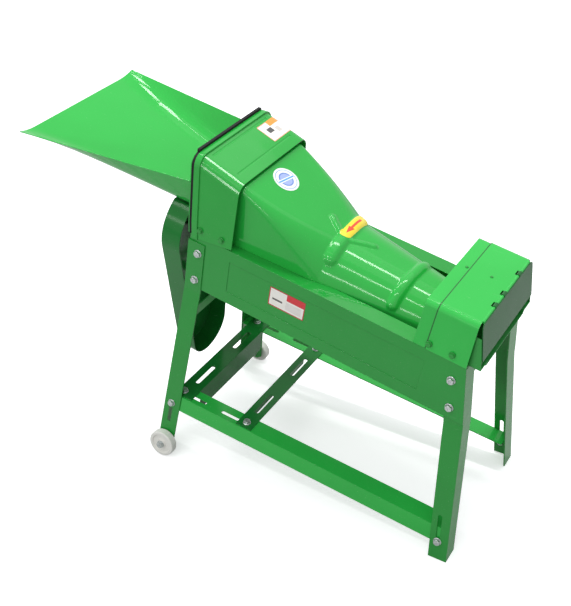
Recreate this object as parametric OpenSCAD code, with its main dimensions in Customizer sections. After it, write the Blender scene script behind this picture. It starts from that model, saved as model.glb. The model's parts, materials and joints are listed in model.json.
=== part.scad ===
// Electric corn sheller: a pitched sheet-steel body on four angle legs, two of them on wheels.
// Body frame: X runs along the rotor to the discharge end, Y to the rear side, Z square to the
// side panels' top edges. Its origin is the top edge at the discharge end. in_body() stands it up.

/* [Stance] */
// Pitch of the body down towards the discharge end, in degrees
body_pitch = 11; // [10.5:0.5:11.5]
// Height of the side panels' top edge above the ground, at the discharge end
body_lift = 470; // [465:1:475]

/* [Body] */
// Width over the side panels
body_w = 270; // [266:1:274]
// Length of the side panels' top edge
body_l = 613.5; // [612:0.5:615]
// Height of the side panels
panel_h = 133; // [130:1:136]
// Width of the folded top flange of a side panel
panel_flange = 38; // [36:1:40]
// Thickness of the body sheet
sheet = 1.6; // [1.5:0.1:1.7]

/* [Legs and rails] */
// Thickness of the leg and rail angle
angle_t = 2.5; // [2.3:0.1:2.7]
// Width of the legs' flanges
leg_w = 40; // [38:1:41]
// Outward slope of the feed end legs below the body
feed_splay = 0.125; // [0.12:0.005:0.13]
// Outward slope of the discharge end legs below the body
discharge_splay = 0.142; // [0.138:0.002:0.146]
// Lean of the discharge end legs, in degrees
leg_lean = 12; // [11.5:0.5:12.5]
// Diameter of a wheel
wheel_d = 63; // [60:1:64]
// Width of a wheel over its hub
wheel_w = 19; // [17:1:20]

/* [Shelling chamber] */
// Depth of the rotor axis below the panels' top edge
axis_drop = 42; // [41:1:43]
// Radius of the rotor's drum
drum_r = 34; // [32:1:35]
// Radius over the rotor's pegs at the feed end
peg_r1 = 64; // [62:1:65]
// Radius over the rotor's pegs at the discharge end
peg_r2 = 52; // [50:1:53]
// Radius of the feed auger at its start
auger_r = 84; // [80:1:86]
// Radius of the concave at the feed end
concave_r1 = 98; // [96:1:99]
// Radius of the concave at the discharge end
concave_r2 = 74; // [73:1:75]
// Number of rods in the concave
rod_count = 14; // [12:1:15]
// Diameter of the rotor shaft
shaft_d = 20; // [19:1:21]
// Outer diameter of the rotor pulley
pulley_d = 110; // [100:2:112]

/* [Covers] */
// Height of the feed hood at its hopper side, over the body's top edge
hood_h = 172; // [170:1:174]
// Height of the tail cover
tail_h = 98; // [97:1:99]
// Angle of the discharge flap at rest, off square to the body's top edge, in degrees
flap_rest = 15; // [14:1:16]
// Drop of the discharge flap below its hinge
flap_drop = 79; // [76:1:80]

/* [Hidden] */
$fn = 48;

green = "#37a34a";
deep_green = "#2a8239";
zinc = "#c9cbc6";
steel = "#8d9092";
nylon = "#eeeeea";
rubber = "#1d1e1d";

eps = 0.01;
half_w = body_w / 2;
flange_y = half_w - panel_flange;
web_in = half_w - sheet;
// Depth of the field pressed into each side panel
panel_press = 1.2;
axis_z = -axis_drop;

// Leg and rail lines
bend_z = -142;
leg_top_z = -17;
leg_out = half_w + angle_t;
feed_leg_x0 = -body_l - angle_t;
feed_leg_x1 = feed_leg_x0 + leg_w;
rail_z = -393;
rail_slope = atan(0.06);
rail_top_w = 40;
rail_drop = 39;
rail_x0 = -612;
rail_x1 = 76;
motor_rail_x = [-583, -415];
motor_bolt_y = 151;
rail_tilt = atan((feed_splay + discharge_splay) / 2);
slot_w = 9;
ground_span = 3000;

// Wheels
axle_r = 4;
wheel_r = wheel_d / 2;
wheel_gap = 2.4;
feed_tilt = atan(feed_splay);
discharge_tilt = atan(discharge_splay);
tread_round = 3;
// Height in the body frame of a point at x whose world height is given
function body_z_at(x, world_z) = (world_z - body_lift + x * sin(body_pitch)) / cos(body_pitch);
// Rise of the tilted axle per unit of its length, and the axle's height over the ground at the leg
axle_rise = sin(feed_tilt) * cos(body_pitch);
axle_lift = (wheel_r - tread_round) * sqrt(1 - axle_rise * axle_rise) + tread_round
  - (wheel_gap + tread_round) * axle_rise;
axle_x = -595;
axle_z = body_z_at(axle_x, axle_lift);

// Fasteners
bolt_r = 4;
bolt_hole = 4.25;
small_bolt_r = 3;
small_hole = 3.2;
washer_t = 1.6;

// Bearings and shaft
shaft_r = shaft_d / 2;
shaft_x0 = -676;
shaft_x1 = -4.5;
end_plate_x = -4;
feed_plate_x = -body_l;
bearing_r = 21;
bearing_w = 12;
running = 0.05;

// Hood: its hopper face leans back, and its roof falls towards the discharge end
hood_face = [-607.5, -10];
hood_lean = 5.5;
hood_roof_fall = 14;
hood_top_in = 9;
hood_corner = 24;
hood_x1 = -515;

// Tail cover and flap hinge
tail_x0 = -110;
tail_seam = -84;
roll_r = 3;
hinge = [-3, tail_h - sheet / 2 - 1.5];
ear_gap = 0.08;
ear_t = 1.6;
ear_w = 13;
ear_places = [-56, -14, 62];
flap_half = 123;

// Guard over the belt run, seen along X: centre and radius of its two lobes
guard_top = [-30, -55, 96];
guard_low = [33, -399, 63];
guard_x0 = -690;
guard_depth = 46;
guard_flat = 21;
guard_arc_steps = 30;

// Hopper: half widths and heights of floor and wall top, at the mouth and at the throat
mouth_x = -1018;
hopper_mouth = [159, 74, 184, 82];
hopper_throat = [97, 25, 131, 115];
tray_corner = 34;
tray_steps = 10;

flap_r = roll_r + ear_gap + ear_t;
flap_out = hinge[0] + flap_drop * sin(flap_rest) + flap_r * cos(flap_rest);
flap_low = hinge[1] - flap_drop * cos(flap_rest) + flap_r * sin(flap_rest);
function world_x(x, z) = x * cos(body_pitch) + z * sin(body_pitch);
origin_x = -(world_x(mouth_x, hopper_mouth[1] - sheet) + world_x(flap_out, flap_low)) / 2;

function leg_y(z, splay) = z < bend_z ? splay * (bend_z - z) : 0;

module in_body() {
  translate([origin_x, 0, body_lift])
    rotate([0, body_pitch, 0])
      children();
}

// Frame of the bottom rails' top faces, inside the body frame
module in_rail_slope() {
  translate([0, 0, rail_z])
    rotate([0, -rail_slope, 0])
      children();
}

module in_rails() {
  in_body()
    in_rail_slope()
      children();
}

// Front side copy of a piece drawn at the rear
module front() {
  mirror([0, 1, 0])
    children();
}

module both_sides() {
  children();
  front() children();
}

// Prism along X over an outline of [y, z] points
module yz_prism(x0, x1, points) {
  translate([x0, 0, 0])
    rotate([90, 0, 90])
      linear_extrude(x1 - x0)
        polygon(points);
}

// Prism along Y over an outline of [x, z] points
module xz_prism(y0, y1, points) {
  translate([0, y1, 0])
    rotate([90, 0, 0])
      linear_extrude(y1 - y0)
        polygon(points);
}

// Cylinder along X
module x_rod(x0, x1, r) {
  translate([x0, 0, 0])
    rotate([0, 90, 0])
      cylinder(h = x1 - x0, r = r);
}

// Cylinder along Y
module y_rod(y0, y1, r) {
  translate([0, y0, 0])
    rotate([-90, 0, 0])
      cylinder(h = y1 - y0, r = r);
}

// Slot cutter along X, cut through Z
module slot(x0, x1, width, depth = 20) {
  r = width / 2;
  translate([x0 + r, -r, -depth / 2])
    cube([x1 - x0 - width, width, depth]);
  for (x = [x0 + r, x1 - r])
    translate([x, 0, -depth / 2])
      cylinder(h = depth, r = r);
}

// Hexagonal head bolt: its head stands along +Z from the face it clamps
module hex_bolt(r, length, washer = true) {
  base = washer ? washer_t : 0;
  if (washer)
    cylinder(h = washer_t, r = 2.2 * r);
  translate([0, 0, base - eps])
    cylinder(h = 1.3 * r, r = 1.87 * r, $fn = 6);
  translate([0, 0, -length])
    cylinder(h = length + base, r = r);
}

module hex_nut(r) {
  difference() {
    cylinder(h = 1.6 * r, r = 1.87 * r, $fn = 6);
    translate([0, 0, -1])
      cylinder(h = 1.6 * r + 2, r = r + 0.05);
  }
}

// Places children on the outside of a rear feed leg, +Z outwards
module on_feed_leg(x, z) {
  translate([x, leg_out + leg_y(z, feed_splay), z])
    rotate([(z < bend_z ? feed_tilt : 0) - 90, 0, 0])
      children();
}

// Places children on the outside of a rear discharge leg, +Z outwards; u runs across the leg
module on_discharge_leg(u, w) {
  rotate([0, -leg_lean, 0])
    translate([u, web_in + leg_y(w, discharge_splay), w])
      rotate([(w < bend_z ? discharge_tilt : 0) - 90, 0, 0])
        children();
}

feed_leg_holes = [[-590, -42], [-592, -111]];
feed_slot = [-448, -508];
feed_rail_bolt = [-597.5, -452.5];
discharge_slot = [-359, -430];
discharge_rail_bolt = [-23, -425.5];
hood_holes = [[-590, 16], [-540, 17]];
tail_holes = [[-79, 14.5], [-32, 15]];
// Upright tabs on the panel's flange that the covers bolt to: X from and to, and outer face
cover_tabs = [[-606, -522, 132.6], [-104, -10, 129.6]];

// Side panel: web with a pressed field, top flange, bottom return and two upright bolting tabs
module side_panel() {
  field = [-518, -76, -106, -26];
  press = panel_press;
  tab_h = 30;
  difference() {
    union() {
      yz_prism(-body_l, 34, [[web_in, -panel_h], [half_w, -panel_h], [half_w, 0], [web_in, 0]]);
      yz_prism(-body_l, 34, [[flange_y, -sheet], [half_w, -sheet], [half_w, 0], [flange_y, 0]]);
      yz_prism(-body_l, -60, [[web_in - 14, -panel_h], [half_w, -panel_h],
        [half_w, sheet - panel_h], [web_in - 14, sheet - panel_h]]);
      xz_prism(web_in - press, half_w - press, [[field[0], field[2]], [field[1], field[2]],
        [field[1], field[3]], [field[0], field[3]]]);
      for (tab = cover_tabs)
        xz_prism(tab[2] - sheet, tab[2], [[tab[0], -1], [tab[1], -1], [tab[1], tab_h - 6],
          [tab[1] - 6, tab_h], [tab[0] + 6, tab_h], [tab[0], tab_h - 6]]);
    }
    xz_prism(half_w - press, half_w + 1, [[field[0] + sheet, field[2] + sheet],
      [field[1] - sheet, field[2] + sheet], [field[1] - sheet, field[3] - sheet],
      [field[0] + sheet, field[3] - sheet]]);
    // Slanted discharge end
    rotate([0, -leg_lean, 0])
      translate([0, 0, -2 * panel_h])
        cube([100, body_w, 3 * panel_h]);
    for (h = concat(feed_leg_holes, discharge_leg_bolts()))
      translate([h[0], 0, h[1]])
        y_rod(web_in - 5, half_w + 5, bolt_hole);
    for (h = concat(hood_holes, tail_holes))
      translate([h[0], 0, h[1]])
        y_rod(web_in - 8, half_w + 5, small_hole);
  }
}

// Leg bolt places of the discharge legs in the body frame
function discharge_leg_bolts() = [[-19.4, -42], [-7, -106]];

module front_side_panel() {
  color(green) in_body() front() side_panel();
}

module rear_side_panel() {
  color(green) in_body() side_panel();
}

// Feed end plate: carries a bearing, closes the trough and props the hopper's sill
module feed_end_plate() {
  high = 20;
  color(deep_green)
    in_body()
      difference() {
        union() {
          yz_prism(feed_plate_x, feed_plate_x + sheet, [[-web_in, sheet - panel_h], [web_in, sheet - panel_h],
            [web_in, -sheet], [flange_y, -sheet], [flange_y, high], [-flange_y, high], [-flange_y, -sheet],
            [-web_in, -sheet]]);
          translate([feed_plate_x, 0, axis_z])
            rotate([0, 90, 0])
              cylinder(h = sheet, r = concave_r1 + 5);
        }
        translate([feed_plate_x - 5, -half_w, high])
          cube([10 + sheet, body_w, body_w]);
        translate([0, 0, axis_z]) {
          x_rod(feed_plate_x - 5, feed_plate_x + 10, 14);
          bearing_hole_places() x_rod(feed_plate_x - 5, feed_plate_x + 10, bolt_hole);
        }
      }
}

module bearing_hole_places() {
  for (s = [-1, 1])
    translate([0, s * 36, 0])
      children();
}

// Discharge end plate: a folded cross plate between the legs, under the chute's lip
module discharge_end_plate() {
  leg_in = web_in - angle_t;
  low = -76;
  high = -9.6;
  fold_x = -44;
  color(deep_green)
    in_body()
      difference() {
        union() {
          yz_prism(end_plate_x, end_plate_x + 2, [[-leg_in, low], [leg_in, low], [leg_in, high],
            [-leg_in, high]]);
          both_sides()
            xz_prism(leg_in - 2, leg_in, [[fold_x, low + 14], [end_plate_x + 2, low],
              [end_plate_x + 2, high], [fold_x, high]]);
        }
        translate([0, 0, axis_z]) {
          x_rod(end_plate_x - 5, end_plate_x + 10, 12);
          bearing_hole_places() x_rod(end_plate_x - 5, end_plate_x + 10, bolt_hole);
        }
        translate([-19.4, 0, -42])
          y_rod(-body_w, body_w, bolt_hole);
      }
}

// Concave: a half cone under the rotor, closed at the feed end and rodded further on
concave_x1 = -body_l + sheet;
concave_x2 = -58;
grate_x = -430;
function concave_r(x) = concave_r1 + (concave_r2 - concave_r1) * (x - concave_x1) / (concave_x2 - concave_x1);
concave_taper = atan((concave_r1 - concave_r2) / (concave_x2 - concave_x1));

module concave_flange(x0, x1) {
  t = 2;
  nut_x = feed_leg_holes[0][0];
  out_y = web_in - panel_press;
  both_sides()
    difference() {
      translate([0, 0, axis_z])
        linear_extrude(t)
          polygon([[x0, concave_r(x0) + 0.2], [x1, concave_r(x1) + 0.2], [x1, out_y], [x0, out_y]]);
      translate([nut_x - 11, web_in - 12, axis_z - 1])
        cube([22, 20, t + 2]);
    }
}

module feed_trough() {
  t = 2;
  span = grate_x - concave_x1;
  color(deep_green)
    in_body() {
      concave_flange(concave_x1, grate_x - 0.3);
      translate([concave_x1, 0, axis_z])
        difference() {
          rotate([0, 90, 0])
            cylinder(h = span - 0.3, r1 = concave_r1 + t, r2 = concave_r(grate_x) + t);
          translate([-eps, 0, 0])
            rotate([0, 90, 0])
              cylinder(h = span + 2 * eps, r1 = concave_r1, r2 = concave_r(grate_x));
          translate([-1, -200, 0])
            cube([span + 2, 400, 200]);
        }
    }
}

// Side strips that carry the grate on the panels
module concave_strips() {
  color(deep_green)
    in_body()
      concave_flange(grate_x + 0.3, concave_x2 - 2);
}

rod_r = 4;
rod_fit = 0.03;
rod_sink = 1.5;

module concave_rod(i, r) {
  first = 188;
  length = (concave_x2 - 4 - grate_x) / cos(concave_taper);
  translate([0, 0, axis_z])
    rotate([first + i * (540 - 2 * first) / (rod_count - 1), 0, 0])
      translate([grate_x + 1, concave_r(grate_x) + rod_r, 0])
        rotate([0, 0, -concave_taper])
          x_rod(0, length, r);
}

module concave_rods() {
  color(steel)
    in_body()
      for (i = [0 : rod_count - 1])
        concave_rod(i, rod_r);
}

// Half rings under the rods, notched for them
module concave_bands() {
  width = 13;
  thick = 5.5;
  color(steel)
    in_body()
      for (x = [grate_x + 1, -340, -250, -160, concave_x2 - 17])
        difference() {
          translate([x, 0, axis_z])
            difference() {
              x_rod(0, width, concave_r(x) + 2 * rod_r - rod_sink + thick);
              x_rod(-1, width + 1, concave_r(x) + 2 * rod_r - rod_sink);
              translate([-1, -body_w, 0])
                cube([width + 2, 2 * body_w, body_w]);
            }
          for (i = [0 : rod_count - 1])
            concave_rod(i, rod_r + rod_fit);
        }
}

// Chute: end wall of the trough, a lip floor, ledges on the panels and two cheeks for the flap
module discharge_chute() {
  wall_x = concave_x2;
  cheek_y = 125;
  floor_y = 93;
  floor_z = -8;
  lip_x = 24;
  ledge_z = 0.2;
  cheek_x = -20;
  stop_gap = 0.3;
  stop = (roll_r + ear_gap) / cos(flap_rest) - stop_gap;
  function stop_x(z) = hinge[0] + (hinge[1] - z) * tan(flap_rest) + stop;
  color(deep_green)
    in_body() {
      yz_prism(wall_x + 2, lip_x, [[-floor_y, floor_z - sheet], [floor_y, floor_z - sheet],
        [floor_y, ledge_z + sheet], [floor_y - sheet, ledge_z + sheet], [floor_y - sheet, floor_z],
        [sheet - floor_y, floor_z], [sheet - floor_y, ledge_z + sheet], [-floor_y, ledge_z + sheet]]);
      both_sides() {
        translate([cheek_x, floor_y - sheet, ledge_z])
          cube([lip_x - cheek_x, cheek_y - floor_y + sheet, sheet]);
        xz_prism(cheek_y - sheet, cheek_y, [[cheek_x, ledge_z], [lip_x, ledge_z], [stop_x(22), 22],
          [stop_x(68), 68], [cheek_x, 68]]);
      }
      difference() {
        union() {
          translate([wall_x, 0, axis_z])
            rotate([0, 90, 0])
              cylinder(h = 2, r = concave_r2 + 12);
          yz_prism(wall_x, wall_x + 2 + eps, [[-floor_y, -50], [floor_y, -50], [floor_y, floor_z],
            [-floor_y, floor_z]]);
        }
        translate([wall_x - 5, -100, floor_z])
          cube([20, 200, 100]);
        translate([0, 0, axis_z])
          x_rod(wall_x - 5, wall_x + 10, shaft_r + 3);
      }
    }
}

// Feed leg: a bent angle with a slotted foot end
module feed_leg() {
  end_z = axle_z - 17;
  run = feed_splay * (bend_z - end_z);
  in_y = leg_out - leg_w;
  difference() {
    union() {
      yz_prism(feed_leg_x0, feed_leg_x1, [[half_w, leg_top_z], [leg_out, leg_top_z], [leg_out, bend_z],
        [leg_out + run, end_z], [half_w + run, end_z], [half_w, bend_z]]);
      yz_prism(feed_leg_x0, feed_leg_x0 + angle_t, [[in_y, leg_top_z], [leg_out, leg_top_z],
        [leg_out, bend_z], [leg_out + run, end_z], [in_y + run, end_z], [in_y, bend_z]]);
    }
    for (h = feed_leg_holes)
      on_feed_leg(h[0], h[1])
        cylinder(h = 20, r = bolt_hole, center = true);
    on_feed_leg(feed_rail_bolt[0], (feed_slot[0] + feed_slot[1]) / 2)
      rotate([0, 0, 90])
        slot((feed_slot[1] - feed_slot[0]) / 2, (feed_slot[0] - feed_slot[1]) / 2, slot_w);
    on_feed_leg(axle_x, axle_z)
      cylinder(h = 20, r = bolt_hole, center = true);
    guard_strap_hole();
    // Corner cut off below the axle
    translate([feed_leg_x1, 0, end_z])
      rotate([0, 45, 0])
        cube([16, 600, 16], center = true);
  }
}

strap_z = -251;
strap_y = 126;

module guard_strap_hole() {
  translate([0, strap_y, strap_z])
    x_rod(feed_leg_x0 - 10, feed_leg_x0 + 10, small_hole);
}

module front_feed_leg() {
  color(green) in_body() front() feed_leg();
}

module rear_feed_leg() {
  color(green) in_body() feed_leg();
}

// Discharge leg: leans out along the body, and its foot is cut level with the ground
module discharge_leg() {
  top_w = -4;
  end_w = -500;
  run = discharge_splay * (bend_z - end_w);
  out_y = web_in;
  in_y = out_y - leg_w;
  difference() {
    in_body()
      difference() {
        rotate([0, -leg_lean, 0])
          union() {
            yz_prism(-leg_w, 0, [[out_y - angle_t, top_w], [out_y, top_w], [out_y, bend_z],
              [out_y + run, end_w], [out_y - angle_t + run, end_w], [out_y - angle_t, bend_z]]);
            yz_prism(-angle_t, 0, [[in_y, top_w], [out_y, top_w], [out_y, bend_z],
              [out_y + run, end_w], [in_y + run, end_w], [in_y, bend_z]]);
          }
        for (h = discharge_leg_bolts())
          translate([h[0], 0, h[1]])
            y_rod(web_in - 10, web_in + 10, bolt_hole);
        on_discharge_leg(discharge_rail_bolt[0], (discharge_slot[0] + discharge_slot[1]) / 2)
          rotate([0, 0, 90])
            slot((discharge_slot[1] - discharge_slot[0]) / 2, (discharge_slot[0] - discharge_slot[1]) / 2,
              slot_w);
      }
    translate([-ground_span / 2, -ground_span / 2, -500])
      cube([ground_span, ground_span, 500]);
  }
}

module front_discharge_leg() {
  color(green) front() discharge_leg();
}

module rear_discharge_leg() {
  color(green) discharge_leg();
}

// Outer face of a bottom rail's fold line at each end, set against the inner face of its legs
feed_play = 0.25;
discharge_play = 0.95;
rail_far_x = discharge_rail_bolt[0] * cos(leg_lean) - discharge_rail_bolt[1] * sin(leg_lean);
function rail_top(x) = rail_z + x * tan(rail_slope);
rail_feed_drop = rail_top(feed_rail_bolt[0]) - feed_rail_bolt[1];
rail_discharge_drop = rail_top(rail_far_x) - (discharge_rail_bolt[0] * sin(leg_lean)
  + discharge_rail_bolt[1] * cos(leg_lean));
rail_feed_y = half_w + leg_y(feed_rail_bolt[1], feed_splay) - feed_play - rail_feed_drop * tan(rail_tilt);
rail_discharge_y = web_in - angle_t + leg_y(discharge_rail_bolt[1], discharge_splay) - discharge_play
  - rail_discharge_drop * tan(rail_tilt);
rail_skew = atan((rail_discharge_y - rail_feed_y) / (rail_far_x - feed_rail_bolt[0]));

// Bottom rail: an angle with its slotted flange on top, turned inwards, between the legs
module bottom_rail() {
  drop_y = rail_drop * tan(rail_tilt);
  shift = -feed_rail_bolt[0];
  difference() {
    in_rail_slope()
      difference() {
        translate([feed_rail_bolt[0], rail_feed_y, 0])
          rotate([0, 0, rail_skew])
            difference() {
              union() {
                yz_prism(rail_x0 + shift, rail_x1 + shift, [[-rail_top_w, -angle_t], [0, -angle_t], [0, 0],
                  [-rail_top_w, 0]]);
                yz_prism(rail_x0 + shift, rail_x1 + shift, [[-angle_t, 0], [0, 0], [drop_y, -rail_drop],
                  [drop_y - angle_t, -rail_drop]]);
              }
              for (span = [[-564, -521], [-480, -434]])
                translate([0, -17, 0])
                  slot(span[0] + shift, span[1] + shift, slot_w);
            }
        motor_rail_bolt_places() cylinder(h = 20, r = bolt_hole, center = true);
      }
    on_feed_leg(feed_rail_bolt[0], feed_rail_bolt[1])
      cylinder(h = 24, r = bolt_hole, center = true);
    on_discharge_leg(discharge_rail_bolt[0], discharge_rail_bolt[1])
      cylinder(h = 24, r = bolt_hole, center = true);
  }
}

module motor_rail_bolt_places() {
  for (x = motor_rail_x)
    translate([x, motor_bolt_y, 0])
      children();
}

module front_bottom_rail() {
  color(green) in_body() front() bottom_rail();
}

module rear_bottom_rail() {
  color(green) in_body() bottom_rail();
}

// Cross rail for the motor: slotted top flange and a hanging flange between the bottom rails
module motor_rail(x_mid, width, drop, fold_side) {
  half = 166;
  hang_half = 127;
  x0 = -width / 2;
  fold_x = fold_side > 0 ? width / 2 - angle_t : x0;
  translate([x_mid, 0, 0])
    difference() {
      union() {
        translate([x0, -half, 0])
          cube([width, 2 * half, angle_t]);
        translate([fold_x, -hang_half, angle_t - drop])
          cube([angle_t, 2 * hang_half, drop]);
      }
      for (span = [[-114, -44], [37, 107]])
        rotate([0, 0, 90])
          slot(span[0], span[1], 10);
      for (s = [-1, 1])
        translate([motor_rail_hole(x_mid), s * motor_bolt_y, 0])
          cylinder(h = 20, r = bolt_hole, center = true);
    }
}

function motor_rail_hole(x_mid) = x_mid < -500 ? motor_rail_x[0] - x_mid : motor_rail_x[1] - x_mid;

module motor_rail_outer() {
  color(green) in_rails() motor_rail(-576, 44, 58, 1);
}

module motor_rail_inner() {
  color(green) in_rails() motor_rail(-415, 38, 38, -1);
}

// Points of an inverted U: half width at the foot and at the top, base, height and corner radius;
// its sides stand upright up to the knee, then lean in
function u_points(foot, top, base, height, r, knee = -1000) = concat(
  [[foot, base]],
  [for (z = [knee]) if (z > base) [foot, z]],
  [for (i = [0 : 8]) [top - r + r * cos(i * 90 / 8), height - r + r * sin(i * 90 / 8)]],
  [for (i = [0 : 8]) [r - top + r * cos(90 + i * 90 / 8), height - r + r * sin(90 + i * 90 / 8)]],
  [for (z = [knee]) if (z > base) [-foot, z]],
  [[-foot, base]]
);

// Bar along X between two inverted U outlines, open below
module u_bar(x0, x1, outer, inner) {
  foot = inner[0];
  low = foot[1] - body_w;
  difference() {
    yz_prism(x0, x1, outer);
    yz_prism(x0 - 1, x1 + 1, concat(inner, [[-foot[0], low], [foot[0], low]]));
  }
}

// Hood frame: origin at the foot of the leaning hopper face
module in_hood_face() {
  translate([hood_face[0], 0, hood_face[1]])
    rotate([0, -hood_lean, 0])
      children();
}

face_h = (hood_h - hood_face[1]) / cos(hood_lean);
hood_foot = half_w + sheet + 0.2;
hood_top = half_w - hood_top_in + sheet;
// Where the hood's sides start to lean in: fall from its roof line, and height up its hopper face
hood_knee = 138;
face_knee = face_h - hood_knee - 6;
hood_deep = 240;

// Feed hood: inverted U with a falling roof, a raised bead round its hopper side, pressed lines
module feed_hood() {
  bead = 2.4;
  bead_w = 13;
  roof = tan(hood_roof_fall);
  color(green)
    in_body()
      difference() {
        union() {
          intersection() {
            translate([-625, 0, hood_h])
              rotate([0, hood_roof_fall, 0])
                u_bar(-60, 160, u_points(hood_foot, hood_top, -hood_deep, 0, hood_corner, -hood_knee),
                  u_points(hood_foot - sheet, hood_top - sheet, -hood_deep, -sheet, hood_corner - sheet,
                    -hood_knee));
            xz_prism(-200, 200, [hood_face, [hood_x1, 4.5], [hood_x1 - 6, 200],
              [hood_face[0] - tan(hood_lean) * 210, 200]]);
          }
          in_hood_face()
            u_bar(0, bead_w,
              u_points(hood_foot + bead, hood_top + bead, 0, face_h, hood_corner + bead, face_knee),
              u_points(hood_foot - sheet, hood_top - sheet, 0, face_h - 2 * sheet - 1, hood_corner,
                face_knee));
        }
        for (x = [22, 84])
          translate([-625, 0, hood_h])
            rotate([0, hood_roof_fall, 0])
              translate([x, 0, 3.2])
                y_rod(-96, 96, 4);
        for (h = hood_holes)
          translate([h[0], 0, h[1]])
            y_rod(-200, 200, small_hole);
      }
}

// Strip of the hopper's flange round the hood's mouth: thickness, foot up the hood's face, and outlines
gasket_t = 6;
flange_t = 2;
face_gap = 0.1;
face_foot = 11;
function face_ring(out, in_side, in_top, r) = [
  u_points(hood_foot + out, hood_top + out, face_foot, face_h - 1, hood_corner + 1, face_knee),
  u_points(hood_foot - in_side, hood_top - in_side, face_foot, face_h - in_top, hood_corner - r, face_knee)];

module hopper_gasket() {
  ring = face_ring(1.4, 9, 12, 7);
  rise = 5;
  end = hood_top - hood_corner + 6;
  color(rubber)
    in_body()
      in_hood_face() {
        u_bar(-gasket_t, -face_gap, ring[0], ring[1]);
        // The strip stands up over the hood's roof, between its corners
        yz_prism(-gasket_t, -face_gap, [[-end, face_h - 6], [end, face_h - 6], [end, face_h + rise - 2],
          [end - 2, face_h + rise], [2 - end, face_h + rise], [-end, face_h + rise - 2]]);
      }
}

// Flange that the hopper's tray is welded to, with a sill as high as the tray's floor
module hopper_flange() {
  ring = face_ring(1, 12, 14, 8);
  sill = 35.8;
  x1 = -gasket_t - face_gap;
  color(green)
    in_body()
      in_hood_face() {
        u_bar(x1 - flange_t, x1, ring[0], ring[1]);
        yz_prism(x1 - flange_t, x1, [[-hood_foot, sill], [-hood_foot, face_foot], [hood_foot, face_foot],
          [hood_foot, sill]]);
      }
}

// Hopper tray section, given floor half width, floor height, wall top half width and height:
// a run of [y, z, turn] from the floor's middle to the wall's top edge, its corner rounded
function tray_run(p) =
  let (
    bend = [p[0], p[1]],
    top = [p[2], p[3]],
    wall = atan2(p[3] - p[1], p[2] - p[0]),
    r = min(tray_corner, 0.8 * norm(top - bend)),
    a = bend - [r, 0],
    c = bend + r * [cos(wall), sin(wall)]
  )
  concat(
    [[0, p[1], 0]],
    [for (i = [0 : 8]) let (t = i / 8, q = (1 - t) * (1 - t) * a + 2 * t * (1 - t) * bend + t * t * c)
      [q[0], q[1], wall * t]],
    [[p[2], p[3], wall]]
  );

// X of the tray's end on the leaning flange, at height z, and of a ring part k of the way there
tray_back = gasket_t + flange_t + 2 * face_gap;
function tray_end_x(z) = hood_face[0] - tray_back / cos(hood_lean) - (z - hood_face[1]) * tan(hood_lean);
function tray_point(k, y, z) = [(1 - k) * mouth_x + k * tray_end_x(z), y, z];

// Closed tray ring: under side from wall to wall, then the upper side back
function tray_ring(p, k) =
  let (
    run = tray_run(p),
    n = len(run),
    low = concat([for (i = [n - 1 : -1 : 1]) [-run[i][0], run[i][1], -run[i][2]]], run),
    m = len(low)
  )
  concat(
    [for (q = low) tray_point(k, q[0] + sheet * sin(q[2]), q[1] - sheet * cos(q[2]))],
    [for (i = [m - 1 : -1 : 0]) tray_point(k, low[i][0], low[i][1])]
  );

// Closed skin over rings of equal count, each running counterclockwise seen from where they lead
module ring_skin(rings) {
  m = len(rings[0]);
  k = len(rings);
  points = [for (ring = rings) each ring];
  sides = [for (j = [0 : k - 2], i = [0 : m - 1]) each [
    [j * m + i, (j + 1) * m + (i + 1) % m, j * m + (i + 1) % m],
    [j * m + i, (j + 1) * m + i, (j + 1) * m + (i + 1) % m]]];
  caps = ring_caps(m, k);
  polyhedron(points = points, faces = concat(sides, caps), convexity = 6);
}

// End faces of a thin ring: quads between its outer half and its inner half
function ring_caps(m, k) =
  let (h = m / 2)
  [for (i = [0 : h - 2]) each [
    [i, m - 2 - i, m - 1 - i], [i, i + 1, m - 2 - i],
    [(k - 1) * m + i, (k - 1) * m + m - 1 - i, (k - 1) * m + m - 2 - i],
    [(k - 1) * m + i, (k - 1) * m + m - 2 - i, (k - 1) * m + i + 1]]];

// Feed hopper: flared tray with rounded lower corners
module feed_hopper() {
  color(green)
    in_body()
      ring_skin([for (i = [0 : tray_steps])
        let (k = i / tray_steps)
        tray_ring((1 - k) * hopper_mouth + k * hopper_throat, k)]);
}

// Upper cover along x: it turns from the hood's square section to a round cone at the first rib.
// Half width, height over the axis and corner radius of its section
cover_x0 = -520;
cover_x1 = -335;
cover_x2 = -105;
function part(x, x0, x1) = max(0, min(1, (x - x0) / (x1 - x0)));
function blend(k, from, to) = from + (to - from) * k;
function cover_t(x) = part(x, cover_x0, cover_x1);
function tail_t(x) = part(x, cover_x1, cover_x2);
function cover_a(x) = x < cover_x1 ? blend(cover_t(x), 113, 106) : blend(tail_t(x), 106, 78);
function cover_b(x) = x < cover_x1 ? blend(cover_t(x), 179, 106) : blend(tail_t(x), 106, 78);
function cover_c(x) = x < cover_x1 ? blend(cover_t(x) * (0.3 + 0.7 * cover_t(x)), 14, 85)
  : blend(tail_t(x), 85, 72.5);

// Lowest edge of the cover's skirt: on the panel flange, then down inside the body
skirt_drop_x = -284;
function skirt_z(x) = max(axis_z + 2.2, 0.3 - max(0, x - skirt_drop_x) * 2.6);

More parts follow.
